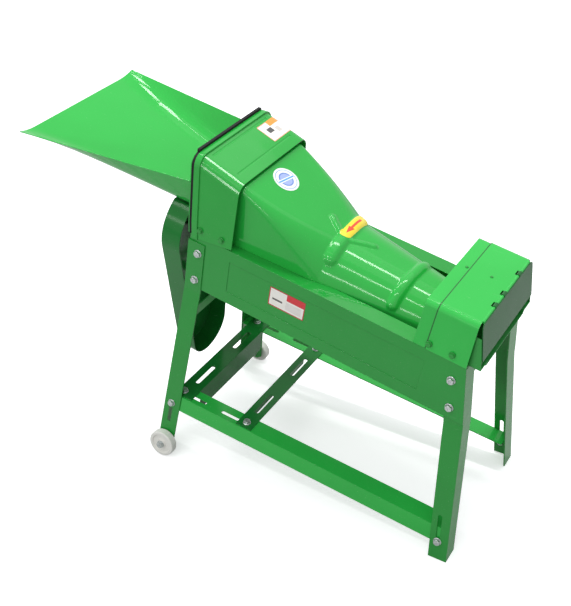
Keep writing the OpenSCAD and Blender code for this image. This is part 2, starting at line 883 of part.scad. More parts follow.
// Point on half a section, u from its foot to the middle of its top; more steps go to a tight corner
function cover_half(x, u, off) =
  let (
    a = cover_a(x) - off,
    b = cover_b(x) - off,
    c = cover_c(x) - off,
    foot = skirt_z(x) - axis_z,
    turn = asin(max(0, min(1, (foot - b + c) / c))),
    weight = 1 + 4 * pow(1 - cover_t(x), 2),
    side = max(0, b - c - foot),
    arc = weight * c * (90 - turn) * PI / 180,
    d = u * (side + arc + a - c),
    q = turn + (90 - turn) * (d - side) / arc
  )
  d < side ? [a, foot + d] : d < side + arc ? [a - c + c * cos(q), b - c + c * sin(q)]
    : [side + arc + a - c - d, b];

// Height of a rounded bead, w to each side of its middle line
function bead(d, w) = abs(d) >= w ? 0 : pow(1 - d * d / (w * w), 0.6);
// Bead along a line between two [x, angle] places, with round ends; k is millimetres to a degree
function mark(x, phi, from, to, w, k) =
  let (
    a = [from[0], from[1] * k],
    b = [to[0], to[1] * k],
    q = [x, phi * k],
    t = max(0, min(1, ((q - a) * (b - a)) / ((b - a) * (b - a))))
  )
  bead(norm(q - (a + t * (b - a))), w);
// Two cross ribs, and two spurs beside the first
rib_1 = -334;
rib_2 = -176;
function cover_mark(x, phi) = max(
  8 * mark(x, phi, [rib_1, 58], [rib_1 + 6, 130], 13, 1.8),
  6.5 * mark(x, phi, [rib_2, 64], [rib_2 - 8, 146], 11, 1.6),
  5 * mark(x, phi, [rib_1 - 6, 99], [-373, 89], 7, 1.8),
  5 * mark(x, phi, [rib_1 + 8, 103], [-275, 89], 7, 1.7)
);

function cover_point(x, s, off) =
  let (
    p = cover_half(x, s < 0.5 ? 2 * s : 2 - 2 * s, off),
    side = s < 0.5 ? 1 : -1,
    phi = atan2(p[1], side * p[0]),
    h = cover_mark(x, phi)
  )
  [x, side * p[0] + h * cos(phi), axis_z + p[1] + h * sin(phi)];

cover_steps = 40;
rib_steps = [-14, -13, -12, -9.5, -6, -2, 2, 6, 9.5, 12, 13, 14];
cover_xs = concat(
  [-560, cover_x0 - 1, -505, -485, -465, -445, -425, -412],
  [for (i = [0 : 8]) -405 + i * 6.3],
  [for (d = rib_steps) rib_1 + d],
  [for (i = [0 : 8]) -314 + i * 6.5],
  [-245, -225, -205],
  [for (d = rib_steps) rib_2 + d * 0.86],
  [-150, -125, -102]
);

module upper_cover() {
  color(green)
    in_body()
      ring_skin([for (x = cover_xs) concat(
        [for (i = [0 : cover_steps]) cover_point(x, i / cover_steps, 0)],
        [for (i = [cover_steps : -1 : 0]) cover_point(x, i / cover_steps, sheet)])]);
}

tail_foot = half_w + sheet;
tail_top = 128;
tail_corner = 15;

function tail_points(inset) =
  u_points(tail_foot - inset, tail_top - inset, 0.2, tail_h - inset, tail_corner - inset);

module tail_outline() {
  xz_prism(-200, 200, [[tail_x0, 0.2], [0, 0.2], [hinge[0] - 1, tail_h + 5], [tail_x0 - 4, tail_h + 5]]);
}

// Inner tail cover: end wall round the upper cover, and the first part of the roof
module tail_cover_inner() {
  t = sheet;
  lap = 0.1;
  outline = tail_points(t + lap);
  color(green)
    in_body()
      difference() {
        union() {
          u_bar(tail_x0, tail_seam + 14, outline, tail_points(2 * t + lap));
          yz_prism(tail_x0, tail_x0 + t, outline);
        }
        translate([0, 0, axis_z])
          x_rod(tail_x0 - 5, tail_x0 + 5, 82);
        translate([tail_x0 - 5, -half_w - 10, -10])
          cube([10, body_w + 20, 10.2]);
        translate([tail_holes[0][0], 0, tail_holes[0][1]])
          y_rod(-200, 200, small_hole);
      }
}

// Outer tail cover: laps over the inner one and ends in a rolled edge that the flap hangs on
module tail_cover_outer() {
  slot_back = 6.5;
  color(green)
    in_body()
      difference() {
        union() {
          intersection() {
            u_bar(tail_seam, 5, tail_points(0), tail_points(sheet));
            tail_outline();
          }
          translate([hinge[0], 0, hinge[1]])
            y_rod(-tail_top + tail_corner, tail_top - tail_corner, roll_r);
        }
        for (y = ear_places)
          translate([hinge[0], y, hinge[1]])
            difference() {
              translate([-slot_back, -ear_w / 2 - 1, -8])
                cube([slot_back + 10, ear_w + 2, 20]);
              y_rod(-20, 20, roll_r);
            }
        for (h = tail_holes)
          translate([h[0], 0, h[1]])
            y_rod(-200, 200, small_hole);
      }
}

// Discharge flap: hangs on ears curled round the tail cover's rolled edge
module discharge_flap() {
  reach = roll_r + ear_gap;
  corner = 11;
  color(green)
    in_body()
      translate([hinge[0], 0, hinge[1]])
        rotate([0, -flap_rest, 0]) {
          difference() {
            union() {
              for (y = ear_places)
                translate([0, y, 0])
                  y_rod(-ear_w / 2, ear_w / 2, reach + ear_t);
              xz_prism(-flap_half, flap_half, [[reach, -flap_drop], [reach + ear_t, -flap_drop],
                [reach + ear_t, 0], [reach, 0]]);
            }
            y_rod(-flap_half - 1, flap_half + 1, reach);
            for (side = [-1, 1])
              translate([reach, side * (flap_half - corner), -corner])
                difference() {
                  translate([-1, side > 0 ? 0 : -corner - 1, 0])
                    cube([ear_t + 2, corner + 1, corner + 1]);
                  x_rod(-2, ear_t + 2, corner);
                }
          }
        }
}

module rotor_shaft() {
  color(steel)
    in_body()
      translate([0, 0, axis_z])
        difference() {
          x_rod(shaft_x0, shaft_x1, shaft_r);
          translate([shaft_x0 - 1, -3, shaft_r - 3])
            cube([26, 6, 10]);
        }
}

drum_x0 = -596;
drum_x1 = -66;

// Drum: a tube on two drilled discs
module rotor_drum() {
  wall = 3;
  disc = 4;
  color(steel)
    in_body()
      translate([0, 0, axis_z])
        difference() {
          x_rod(drum_x0, drum_x1, drum_r);
          x_rod(drum_x0 + disc, drum_x1 - disc, drum_r - wall);
          x_rod(drum_x0 - 1, drum_x1 + 1, shaft_r);
          for (a = [0 : 60 : 300])
            rotate([a, 0, 0])
              translate([0, (drum_r + shaft_r) / 2, 0])
                x_rod(drum_x0 - 1, drum_x1 + 1, 6);
        }
}

// Square pegs welded on the drum, climbing round it in two rows
module drum_pegs() {
  peg = 9;
  first = -470;
  pitch = 18;
  turn = 25;
  rows = 20;
  weld = 0.02;
  color(steel)
    in_body()
      translate([0, 0, axis_z])
        for (i = [0 : rows - 1], side = [0, 180])
          rotate([i * turn + side, 0, 0])
            difference() {
              translate([first + i * pitch, -peg / 2, drum_r - 1])
                cube([peg, peg, peg_r1 + (peg_r2 - peg_r1) * i / (rows - 1) - drum_r + 1]);
              x_rod(first + i * pitch - 1, first + i * pitch + peg + 1, drum_r + weld);
            }
}

// Feed auger: one helical flight welded round the start of the drum, narrowing towards the pegs
module feed_auger() {
  t = 3;
  turns = 1.5;
  x0 = drum_x0 + 4;
  pitch = 76;
  steps = 54;
  inner = drum_r - 0.5;
  color(steel)
    in_body()
      translate([0, 0, axis_z])
        ring_skin([for (i = [0 : steps])
          let (
            k = i / steps,
            a = -k * 360 * turns,
            x = x0 + pitch * turns * k,
            r = auger_r + (peg_r1 - auger_r) * k
          )
          [[x, inner * cos(a), inner * sin(a)], [x, r * cos(a), r * sin(a)],
            [x + t, r * cos(a), r * sin(a)], [x + t, inner * cos(a), inner * sin(a)]]]);
}

module throw_paddles() {
  color(steel)
    in_body()
      translate([0, 0, axis_z])
        difference() {
          for (a = [45 : 90 : 315])
            rotate([a, 0, 0])
              translate([-100, -2, drum_r - 3])
                cube([32, 4, peg_r2 - drum_r + 3]);
          x_rod(-110, -60, drum_r);
        }
}

// Rotor pulley: one V groove, a hub and a keyed bore
module rotor_pulley() {
  w = 18;
  r = pulley_d / 2;
  x0 = -672;
  color(steel)
    in_body()
      translate([x0, 0, axis_z])
        difference() {
          rotate([0, 90, 0])
            rotate_extrude()
              polygon([[shaft_r, -1], [18, -1], [18, 5], [r - 14, 7], [r - 14, 2], [r - 1, 0], [r, 1],
                [r, 2], [r - 10, 6], [r - 10, w - 6], [r, w - 2], [r, w - 1], [r - 1, w], [r - 14, w - 2],
                [r - 14, w - 7], [18, w - 5], [18, w + 6], [shaft_r, w + 6]]);
          translate([-2, -3, 0])
            cube([w + 10, 6, shaft_r + 3]);
          for (a = [45 : 90 : 315])
            rotate([a, 0, 0])
              translate([0, 29, 0])
                x_rod(0, w, 6.5);
        }
}

module pulley_key() {
  color(zinc)
    in_body()
      translate([-672, -2.95, axis_z + shaft_r - 2.95])
        cube([20, 5.9, 5.85]);
}

module bearing_housing(x, face) {
  plate_t = 5;
  depth = 16;
  d0 = face > 0 ? x : x - plate_t;
  b0 = face > 0 ? x : x - depth;
  translate([0, 0, axis_z])
    difference() {
      union() {
        x_rod(b0, b0 + depth, 26);
        translate([d0, -36, -12])
          cube([plate_t, 72, 24]);
        for (s = [-1, 1])
          translate([0, s * 36, 0])
            x_rod(d0, d0 + plate_t, 12);
      }
      x_rod(x - 30, x + 30, bearing_r);
      bearing_hole_places() x_rod(x - 30, x + 30, bolt_hole);
    }
}

module bearing_insert(x0) {
  translate([0, 0, axis_z])
    difference() {
      x_rod(x0, x0 + bearing_w, bearing_r);
      x_rod(x0 - 1, x0 + bearing_w + 1, shaft_r + running);
      for (x = [x0 - 1, x0 + bearing_w - 1])
        difference() {
          x_rod(x, x + 2, 18);
          x_rod(x - 1, x + 3, 13.5);
        }
    }
}

module feed_bearing_housing() {
  color(deep_green) in_body() bearing_housing(feed_plate_x, -1);
}

module feed_bearing() {
  color(zinc) in_body() bearing_insert(feed_plate_x - 14);
}

module discharge_bearing_housing() {
  color(deep_green) in_body() bearing_housing(end_plate_x, -1);
}

module discharge_bearing() {
  color(zinc) in_body() bearing_insert(end_plate_x - 14);
}

// Outline of the belt guard: two arcs joined by their outer tangents, with a flat on top
function guard_arc(c, r, a0, a1) = [for (i = [0 : guard_arc_steps])
  let (a = a0 + (a1 - a0) * i / guard_arc_steps) [c[0] + r * cos(a), c[1] + r * sin(a)]];

function guard_outline(inset) =
  let (
    d = [guard_low[0] - guard_top[0], guard_low[1] - guard_top[1]],
    swing = acos((guard_top[2] - guard_low[2]) / norm(d)),
    heading = atan2(d[1], d[0]),
    r1 = guard_top[2] - inset,
    r2 = guard_low[2] - inset,
    flat = asin((guard_flat - inset - guard_top[1]) / r1)
  )
  concat(
    guard_arc(guard_low, r2, heading - swing, heading + swing),
    guard_arc(guard_top, r1, heading + swing, flat),
    guard_arc(guard_top, r1, 180 - flat, heading + 360 - swing)
  );

module guard_plate(x0, x1, inset) {
  translate([x0, 0, 0])
    rotate([90, 0, 90])
      linear_extrude(x1 - x0)
        polygon(guard_outline(inset));
}

strap_mid = 20;
module belt_guard() {
  color(green)
    in_body()
      difference() {
        guard_plate(guard_x0, guard_x0 + guard_depth, 0);
        guard_plate(guard_x0 + sheet, guard_x0 + guard_depth + 1, sheet);
        translate([0, strap_mid, strap_z])
          x_rod(guard_x0 - 5, guard_x0 + 5, small_hole);
      }
}

// Guard bracket: a strap across the feed legs, with one long arm out to the guard's face
module guard_bracket() {
  t = 3;
  x1 = feed_leg_x0;
  arm = 24;
  color(deep_green)
    in_body()
      difference() {
        union() {
          translate([x1 - t, -strap_y - 14, strap_z - 13])
            cube([t, 2 * strap_y + 28, 26]);
          translate([guard_x0 + sheet, strap_mid - arm / 2, strap_z + 10])
            cube([x1 - guard_x0 - sheet, arm, t]);
          translate([guard_x0 + sheet, strap_mid - arm / 2, strap_z - 13])
            cube([t, arm, 26]);
        }
        for (y = [-strap_y, strap_y])
          translate([0, y, strap_z])
            x_rod(x1 - 10, x1 + 5, small_hole);
        translate([0, strap_mid, strap_z])
          x_rod(guard_x0 - 5, guard_x0 + 10, small_hole);
      }
}

module guard_bolts() {
  color(zinc)
    in_body() {
      for (y = [-strap_y, strap_y])
        translate([feed_leg_x0 - 3, y, strap_z])
          rotate([0, -90, 0])
            hex_bolt(small_bolt_r, 10);
      translate([guard_x0, strap_mid, strap_z])
        rotate([0, -90, 0])
          hex_bolt(small_bolt_r, 9);
    }
}

// Wheel profile, turned about its axle: tread with rounded edges, web and hub
module wheel_body() {
  h = wheel_w;
  e = tread_round;
  difference() {
    rotate_extrude($fn = 72)
      polygon(concat(
        [[0, 0], [9, 0], [9, 1], [wheel_r - 8, 1], [wheel_r - 6, 0]],
        [for (i = [0 : 4]) [wheel_r - e + e * sin(i * 22.5), e - e * cos(i * 22.5)]],
        [for (i = [0 : 4]) [wheel_r - e + e * cos(i * 22.5), h - e + e * sin(i * 22.5)]],
        [[wheel_r - 7, h], [wheel_r - 9, h - 4], [11, h - 4], [10, h], [0, h]]));
    translate([0, 0, -1])
      cylinder(h = h + 2, r = axle_r + 0.06);
  }
}

module wheel() {
  on_feed_leg(axle_x, axle_z)
    translate([0, 0, wheel_gap])
      wheel_body();
}

module front_wheel() {
  color(nylon) in_body() front() wheel();
}

module rear_wheel() {
  color(nylon) in_body() wheel();
}

module axle_bolts() {
  color(zinc)
    in_body()
      both_sides()
        on_feed_leg(axle_x, axle_z) {
          translate([0, 0, wheel_gap + wheel_w + 0.4])
            hex_bolt(axle_r, wheel_gap + wheel_w + 12);
          difference() {
            cylinder(h = wheel_gap - 0.4, r = 9);
            translate([0, 0, -1])
              cylinder(h = 6, r = axle_r);
          }
        }
}

module axle_nuts() {
  color(zinc)
    in_body()
      both_sides()
        on_feed_leg(axle_x, axle_z)
          translate([0, 0, -angle_t - 1.6 * axle_r])
            hex_nut(axle_r);
}

module leg_bolt_places(inside) {
  for (h = feed_leg_holes)
    translate([h[0], inside ? web_in : leg_out, h[1]])
      rotate([inside ? 90 : -90, 0, 0])
        children();
  for (i = [0, 1])
    translate([discharge_leg_bolts()[i][0], inside ? web_in - angle_t - (i == 0 ? 2 : 0) : half_w,
      discharge_leg_bolts()[i][1]])
      rotate([inside ? 90 : -90, 0, 0])
        children();
}

module leg_bolts() {
  color(zinc)
    in_body()
      both_sides()
        leg_bolt_places(false) hex_bolt(bolt_r, 16);
}

module leg_nuts() {
  color(zinc)
    in_body()
      both_sides()
        leg_bolt_places(true) hex_nut(bolt_r);
}

module rail_bolt_places() {
  on_feed_leg(feed_rail_bolt[0], feed_rail_bolt[1])
    children();
  on_discharge_leg(discharge_rail_bolt[0], discharge_rail_bolt[1])
    children();
}

module rail_bolts() {
  color(zinc)
    in_body()
      both_sides()
        rail_bolt_places() hex_bolt(bolt_r, 16);
}

module rail_nuts() {
  stack = 2 * angle_t + 0.2 + 1.6 * bolt_r;
  color(zinc)
    in_body()
      both_sides() {
        on_feed_leg(feed_rail_bolt[0], feed_rail_bolt[1])
          translate([0, 0, -stack - feed_play])
            hex_nut(bolt_r);
        on_discharge_leg(discharge_rail_bolt[0], discharge_rail_bolt[1])
          translate([0, 0, -stack - discharge_play - 0.4])
            hex_nut(bolt_r);
      }
}

module motor_rail_bolts() {
  color(zinc)
    in_rails()
      both_sides()
        motor_rail_bolt_places()
          translate([0, 0, angle_t])
            hex_bolt(bolt_r, 14);
}

module motor_rail_nuts() {
  color(zinc)
    in_rails()
      both_sides()
        motor_rail_bolt_places()
          translate([0, 0, -angle_t - 1.6 * bolt_r])
            hex_nut(bolt_r);
}

// Half width of the hood's and the tail cover's outside at a bolt place
function hood_y(x, z) =
  let (fall = (hood_h - z) * cos(hood_roof_fall) - (x + 625) * sin(hood_roof_fall))
  hood_top + (hood_foot - hood_top) * min(1, (fall - hood_corner) / (hood_knee - hood_corner));
function tail_y(z) = tail_foot - (tail_foot - tail_top) * z / (tail_h - tail_corner);

module hood_bolts() {
  color(green)
    in_body()
      both_sides()
        for (h = hood_holes)
          translate([h[0], hood_y(h[0], h[1]) + 0.4, h[1]])
            rotate([-90, 0, 0])
              hex_bolt(small_bolt_r, 13);
}

module tail_bolts() {
  color(green)
    in_body()
      both_sides()
        for (h = tail_holes)
          translate([h[0], tail_y(h[1]) + 0.7, h[1]])
            rotate([-90, 0, 0])
              hex_bolt(small_bolt_r, 13);
}

module cover_nuts() {
  color(zinc)
    in_body()
      both_sides()
        for (h = concat(hood_holes, tail_holes))
          translate([h[0], (h[0] < -500 ? cover_tabs[0][2] : cover_tabs[1][2]) - sheet, h[1]])
            rotate([90, 0, 0])
              hex_nut(small_bolt_r);
}

module tail_screws() {
  color(green)
    in_body()
      for (p = [[-91, 14, tail_h - sheet], [-41, 16, tail_h]])
        translate(p)
          cylinder(h = 1.6, r1 = 3.4, r2 = 2.4);
}

module bearing_bolts() {
  color(zinc)
    in_body()
      translate([0, 0, axis_z])
        bearing_hole_places() {
          translate([feed_plate_x - 5, 0, 0])
            rotate([0, -90, 0])
              hex_bolt(bolt_r, 12, false);
          translate([end_plate_x + 2, 0, 0])
            rotate([0, 90, 0])
              hex_bolt(bolt_r, 14, false);
        }
}

front_side_panel();
rear_side_panel();
feed_end_plate();
discharge_end_plate();
feed_trough();
concave_strips();
concave_bands();
concave_rods();
discharge_chute();
front_feed_leg();
rear_feed_leg();
front_discharge_leg();
rear_discharge_leg();
front_bottom_rail();
rear_bottom_rail();
motor_rail_outer();
motor_rail_inner();
feed_hopper();
hopper_flange();
hopper_gasket();
feed_hood();
upper_cover();
tail_cover_inner();
tail_cover_outer();
discharge_flap();
rotor_shaft();
rotor_drum();
drum_pegs();
feed_auger();
throw_paddles();
rotor_pulley();
pulley_key();
feed_bearing_housing();
feed_bearing();
discharge_bearing_housing();
discharge_bearing();
belt_guard();
guard_bracket();
front_wheel();
rear_wheel();
axle_bolts();
axle_nuts();
leg_bolts();
leg_nuts();
rail_bolts();
rail_nuts();
motor_rail_bolts();
motor_rail_nuts();
hood_bolts();
tail_bolts();
cover_nuts();
tail_screws();
bearing_bolts();
guard_bolts();
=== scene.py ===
"""Electric corn sheller: finishes, formed cover, labels, cut fasteners and stage for its CAD solids."""

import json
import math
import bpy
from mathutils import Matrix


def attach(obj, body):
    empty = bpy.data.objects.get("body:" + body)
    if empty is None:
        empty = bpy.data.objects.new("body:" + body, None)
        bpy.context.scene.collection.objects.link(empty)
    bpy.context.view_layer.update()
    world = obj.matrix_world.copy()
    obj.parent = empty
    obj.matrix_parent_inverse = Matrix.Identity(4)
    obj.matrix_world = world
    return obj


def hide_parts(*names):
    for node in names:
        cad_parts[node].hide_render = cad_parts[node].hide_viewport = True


bl_info = {
    "name": "Corn Sheller",
    "version": (1, 0, 0),
    "blender": (4, 5, 0),
    "location": "3D Viewport > Sidebar > Sheller",
    "description": "Paints, labels and stages an electric corn sheller",
    "category": "Object",
}

import bmesh
import bpy
import numpy as np
from bpy.props import FloatProperty, FloatVectorProperty, PointerProperty
from mathutils import Matrix, Vector

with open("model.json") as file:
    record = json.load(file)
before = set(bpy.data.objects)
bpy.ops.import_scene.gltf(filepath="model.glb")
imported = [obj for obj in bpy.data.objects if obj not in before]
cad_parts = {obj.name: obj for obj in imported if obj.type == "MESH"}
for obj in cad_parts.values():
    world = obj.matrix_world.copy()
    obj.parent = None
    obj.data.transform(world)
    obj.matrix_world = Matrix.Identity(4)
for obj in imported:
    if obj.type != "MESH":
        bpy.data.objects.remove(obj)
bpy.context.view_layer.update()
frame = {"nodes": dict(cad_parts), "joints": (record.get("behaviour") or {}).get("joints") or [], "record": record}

MM = 0.001
# Body frame: its pitch and its height over the ground, in metres
PITCH = math.radians(11)
LIFT = 0.470
# In its millimetres: height of the rotor's axis, the rotor joint's place along it, and the tail sheets' lap
AXIS = -42
ROTOR_MIDDLE = -300
LAP_X = -84
# Thickness of the body's sheet and of a washer
SHEET = 1.6
WASHER = 1.6


def body_shift():
    """X of the body frame's origin, from the rotor joint's place."""
    joint = next(j for j in frame["joints"] if j["name"] == "rotor_spin")
    return joint["pos_m"][0] - (ROTOR_MIDDLE * math.cos(PITCH) + AXIS * math.sin(PITCH)) * MM


# From the body frame, X along the rotor and Z square to the panels' top edges, to the world
BODY = Matrix.Translation((body_shift(), 0, LIFT)) @ Matrix.Rotation(PITCH, 4, "Y")

# Photograph's frame and camera: focal length and centre in its pixels, place and axes in metres
FRAME_W, FRAME_H = 571, 606
CAMERA_FOCAL = 1018.4
CAMERA_CENTRE = (282.2, 300.0)
CAMERA_PLACE = (0.507546, -1.516803, 1.632331)
CAMERA_RIGHT = (0.850917, 0.524136, -0.034969)
CAMERA_DOWN = (0.274326, -0.500157, -0.821333)
CAMERA_AHEAD = (-0.44798, 0.689293, -0.569376)
SENSOR = 36


def linear(code):
    """Linear colour of an sRGB hex value such as 2E9E45."""
    parts = [int(code[i:i + 2], 16) / 255 for i in (0, 2, 4)]
    return tuple(c / 12.92 if c <= 0.04045 else ((c + 0.055) / 1.055) ** 2.4 for c in parts) + (1.0,)


def cells(size):
    """Texture scale, in cells to a metre, for marks of a size in millimetres."""
    return 1000 / size


# ---- Finishes ----

def add(tree, kind, inputs=None, stops=None, **settings):
    """Adds a node, sets its options, and fills its inputs with values or with other nodes' outputs."""
    node = tree.nodes.new("ShaderNode" + kind)
    for name, value in settings.items():
        setattr(node, name, value)
    for key, value in (inputs or {}).items():
        if isinstance(value, bpy.types.Node):
            tree.links.new(value.outputs[0], node.inputs[key])
        elif isinstance(value, tuple) and isinstance(value[0], bpy.types.Node):
            tree.links.new(value[0].outputs[value[1]], node.inputs[key])
        else:
            node.inputs[key].default_value = value
    for index, (position, colour) in enumerate(stops or []):
        elements = node.color_ramp.elements
        element = elements[index] if index < len(elements) else elements.new(position)
        element.position = position
        element.color = colour
    return node


def new_finish(name, surface, **constants):
    """Node material from a function that lays its nodes and returns the shader's linked inputs."""
    material = bpy.data.materials.new(name)
    material.use_nodes = True
    tree = material.node_tree
    tree.nodes.clear()
    place = add(tree, "TexCoord")
    inputs = {key.replace("_", " "): value for key, value in constants.items()}
    inputs.update(surface(tree, place))
    shader = add(tree, "BsdfPrincipled", inputs)
    add(tree, "OutputMaterial", {"Surface": shader})
    return material


def enamel(name, colour, shade, rough, dust, lap=None, shine=0.5):
    """Sprayed enamel on sheet steel: wet gloss with slight orange peel, drifting tone, dust and rub marks.

    Where two sheets lap, at a place along the body, dirt and a painted shadow draw a dark line along the
    edge. Shine is less than 0.5 on paint that has gone chalky.
    """
    def surface(tree, place):
        at = (place, "Object")
        # Film that thins and thickens over a hand's breadth
        drift = add(tree, "TexNoise", {"Vector": at, "Scale": cells(130), "Detail": 2.0})
        body = add(tree, "Mix", {0: (drift, "Fac"), 6: shade, 7: colour}, data_type="RGBA")
        # Dust nibs caught in the film, drawn 3 mm apart so that they show
        nibs = add(tree, "TexNoise", {"Vector": at, "Scale": cells(3.0), "Detail": 2.0})
        specks = add(tree, "MapRange", {"Value": (nibs, "Fac"), "From Min": 0.68, "From Max": 0.76,
                                        "To Max": dust})
        # Pale rub marks about 1 mm wide and 8 mm long
        along = add(tree, "Mapping", {"Vector": at, "Scale": (0.15, 1.0, 0.6)})
        rubs = add(tree, "TexNoise", {"Vector": along, "Scale": cells(7), "Detail": 4.0, "Roughness": 0.6})
        marks = add(tree, "MapRange", {"Value": (rubs, "Fac"), "From Min": 0.69, "From Max": 0.78,
                                       "To Max": dust})
        worn = add(tree, "Math", {0: specks, 1: marks}, operation="MAXIMUM")
        face = add(tree, "Mix", {0: worn, 6: (body, 2), 7: linear("A9D2AC")}, data_type="RGBA")
        # Painted shadow, with some dirt: a dark green line along the edge where the tail's sheets lap
        if lap is not None:
            along_body = BODY.to_3x3() @ Vector((1, 0, 0))
            across = add(tree, "VectorMath", {0: at, 1: along_body}, operation="DOT_PRODUCT")
            edge_place = BODY.translation.dot(along_body) + lap * MM
            off = add(tree, "Math", {0: (across, "Value"), 1: edge_place}, operation="SUBTRACT")
            away = add(tree, "Math", {0: off}, operation="ABSOLUTE")
            dirt_and_lap_shadow = add(tree, "MapRange", {"Value": away, "From Min": 0.5 * MM, "From Max": 1.8 * MM,
                                          "To Min": 0.9, "To Max": 0.0})
            face = add(tree, "Mix", {0: dirt_and_lap_shadow, 6: (face, 2), 7: linear("0D3A17")}, data_type="RGBA")
        # Gloss that dulls in clouds where hands and husks have rubbed
        cloud = add(tree, "TexNoise", {"Vector": at, "Scale": cells(45), "Detail": 3.0})
        dull = add(tree, "MapRange", {"Value": (cloud, "Fac"), "From Min": 0.35, "From Max": 0.7,
                                      "To Min": rough, "To Max": rough + 0.07})
        # Paint drawn round over cut edges, so that they catch the light
        edge = add(tree, "Bevel", {"Radius": 1.2 * MM}, samples=6)
        # Orange peel 3 mm across, over the slow waves of thin sheet
        peel = add(tree, "TexNoise", {"Vector": at, "Scale": cells(3.2), "Detail": 1.0})
        fine = add(tree, "Bump", {"Height": (peel, "Fac"), "Distance": 0.012 * MM, "Normal": edge})
        wave = add(tree, "TexNoise", {"Vector": at, "Scale": cells(85), "Detail": 1.0})
        normal = add(tree, "Bump", {"Height": (wave, "Fac"), "Distance": 0.8 * MM, "Normal": fine})
        return {"Base Color": (face, 2), "Roughness": dull, "Normal": normal}
    return new_finish(name, surface, IOR=1.42, Specular_IOR_Level=shine)


def zinc_plate(name, colour, rough):
    """Bright zinc on cold-headed steel: bluish grey metal, spangled, smeared where a spanner has turned."""
    def surface(tree, place):
        at = (place, "Object")
        # Crystals of the plate, about 2 mm
        spangle = add(tree, "TexVoronoi", {"Vector": at, "Scale": cells(2.0)})
        tone = add(tree, "Mix", {0: (spangle, "Color"), 6: colour, 7: linear("9DA3A4")}, data_type="RGBA")
        # Grey smears of oil and steel dust, 6 mm apart
        smear = add(tree, "TexNoise", {"Vector": at, "Scale": cells(6), "Detail": 3.0})
        oil = add(tree, "MapRange", {"Value": (smear, "Fac"), "From Min": 0.55, "From Max": 0.8,
                                     "To Max": 0.4})
        face = add(tree, "Mix", {0: oil, 6: (tone, 2), 7: linear("6F7472")}, data_type="RGBA")
        dull = add(tree, "MapRange", {"Value": (smear, "Fac"), "To Min": rough, "To Max": rough + 0.2})
        grain = add(tree, "TexNoise", {"Vector": at, "Scale": cells(0.8), "Detail": 2.0})
        normal = add(tree, "Bump", {"Height": (grain, "Fac"), "Distance": 0.02 * MM})
        return {"Base Color": (face, 2), "Roughness": dull, "Normal": normal}
    return new_finish(name, surface, Metallic=1.0)


def worked_steel(name, colour, rust, grain_mm):
    """Rolled, turned and welded steel: lengthwise grain, dark mill scale and a bloom of light rust."""
    def surface(tree, place):
        at = (place, "Object")
        along = add(tree, "Mapping", {"Vector": at, "Scale": (0.15, 1.0, 1.0)})
        grain = add(tree, "TexNoise", {"Vector": along, "Scale": cells(grain_mm), "Detail": 4.0,
                                       "Roughness": 0.6})
        tone = add(tree, "Mix", {0: (grain, "Fac"), 6: linear("6E7072"), 7: colour}, data_type="RGBA")
        # Mill scale left in patches 26 mm across
        patches = add(tree, "TexNoise", {"Vector": at, "Scale": cells(26), "Detail": 4.0})
        scale = add(tree, "MapRange", {"Value": (patches, "Fac"), "From Min": 0.42, "From Max": 0.62})
        dark = add(tree, "Mix", {0: scale, 6: (tone, 2), 7: linear("4C4B4A")}, data_type="RGBA")
        bloom = add(tree, "TexNoise", {"Vector": at, "Scale": cells(14), "Detail": 5.0, "Roughness": 0.65})
        rusty = add(tree, "MapRange", {"Value": (bloom, "Fac"), "From Min": 0.58, "From Max": 0.72,
                                       "To Max": rust})
        face = add(tree, "Mix", {0: rusty, 6: (dark, 2), 7: linear("7A4A2B")}, data_type="RGBA")
        dull = add(tree, "MapRange", {"Value": (grain, "Fac"), "To Min": 0.3, "To Max": 0.55})
        normal = add(tree, "Bump", {"Height": (grain, "Fac"), "Distance": 0.03 * MM})
        return {"Base Color": (face, 2), "Roughness": dull, "Normal": normal}
    return new_finish(name, surface, Metallic=1.0)


def moulded_nylon(name, colour):
    """Injection-moulded nylon: milky white, soft-edged, scuffed and dusty on the tread."""
    def surface(tree, place):
        at = (place, "Object")
        cloud = add(tree, "TexNoise", {"Vector": at, "Scale": cells(22), "Detail": 3.0})
        milk = add(tree, "Mix", {0: (cloud, "Fac"), 6: linear("E6E5DE"), 7: colour}, data_type="RGBA")
        scuffs = add(tree, "TexNoise", {"Vector": at, "Scale": cells(4), "Detail": 4.0, "Roughness": 0.65})
        dirt_and_lap_shadow = add(tree, "MapRange", {"Value": (scuffs, "Fac"), "From Min": 0.6, "From Max": 0.76,
                                      "To Max": 0.3})
        face = add(tree, "Mix", {0: dirt_and_lap_shadow, 6: (milk, 2), 7: linear("A9A598")}, data_type="RGBA")
        normal = add(tree, "Bump", {"Height": (scuffs, "Fac"), "Distance": 0.04 * MM})
        return {"Base Color": (face, 2), "Normal": normal}
    return new_finish(name, surface, Roughness=0.42, IOR=1.53)


def sheet_rubber(name, colour):
    """Cut sheet rubber: matt black with a fine calendered grain and pale talc in its pores."""
    def surface(tree, place):
        at = (place, "Object")
        pores = add(tree, "TexNoise", {"Vector": at, "Scale": cells(4), "Detail": 4.0, "Roughness": 0.6})
        talc = add(tree, "MapRange", {"Value": (pores, "Fac"), "From Min": 0.6, "From Max": 0.76,
                                      "To Max": 0.12})
        face = add(tree, "Mix", {0: talc, 6: colour, 7: linear("55565A")}, data_type="RGBA")
        grain = add(tree, "TexNoise", {"Vector": at, "Scale": cells(1.3), "Detail": 3.0})
        normal = add(tree, "Bump", {"Height": (grain, "Fac"), "Distance": 0.06 * MM})
        return {"Base Color": (face, 2), "Normal": normal}
    return new_finish(name, surface, Roughness=0.68, IOR=1.52, Specular_IOR_Level=0.25)


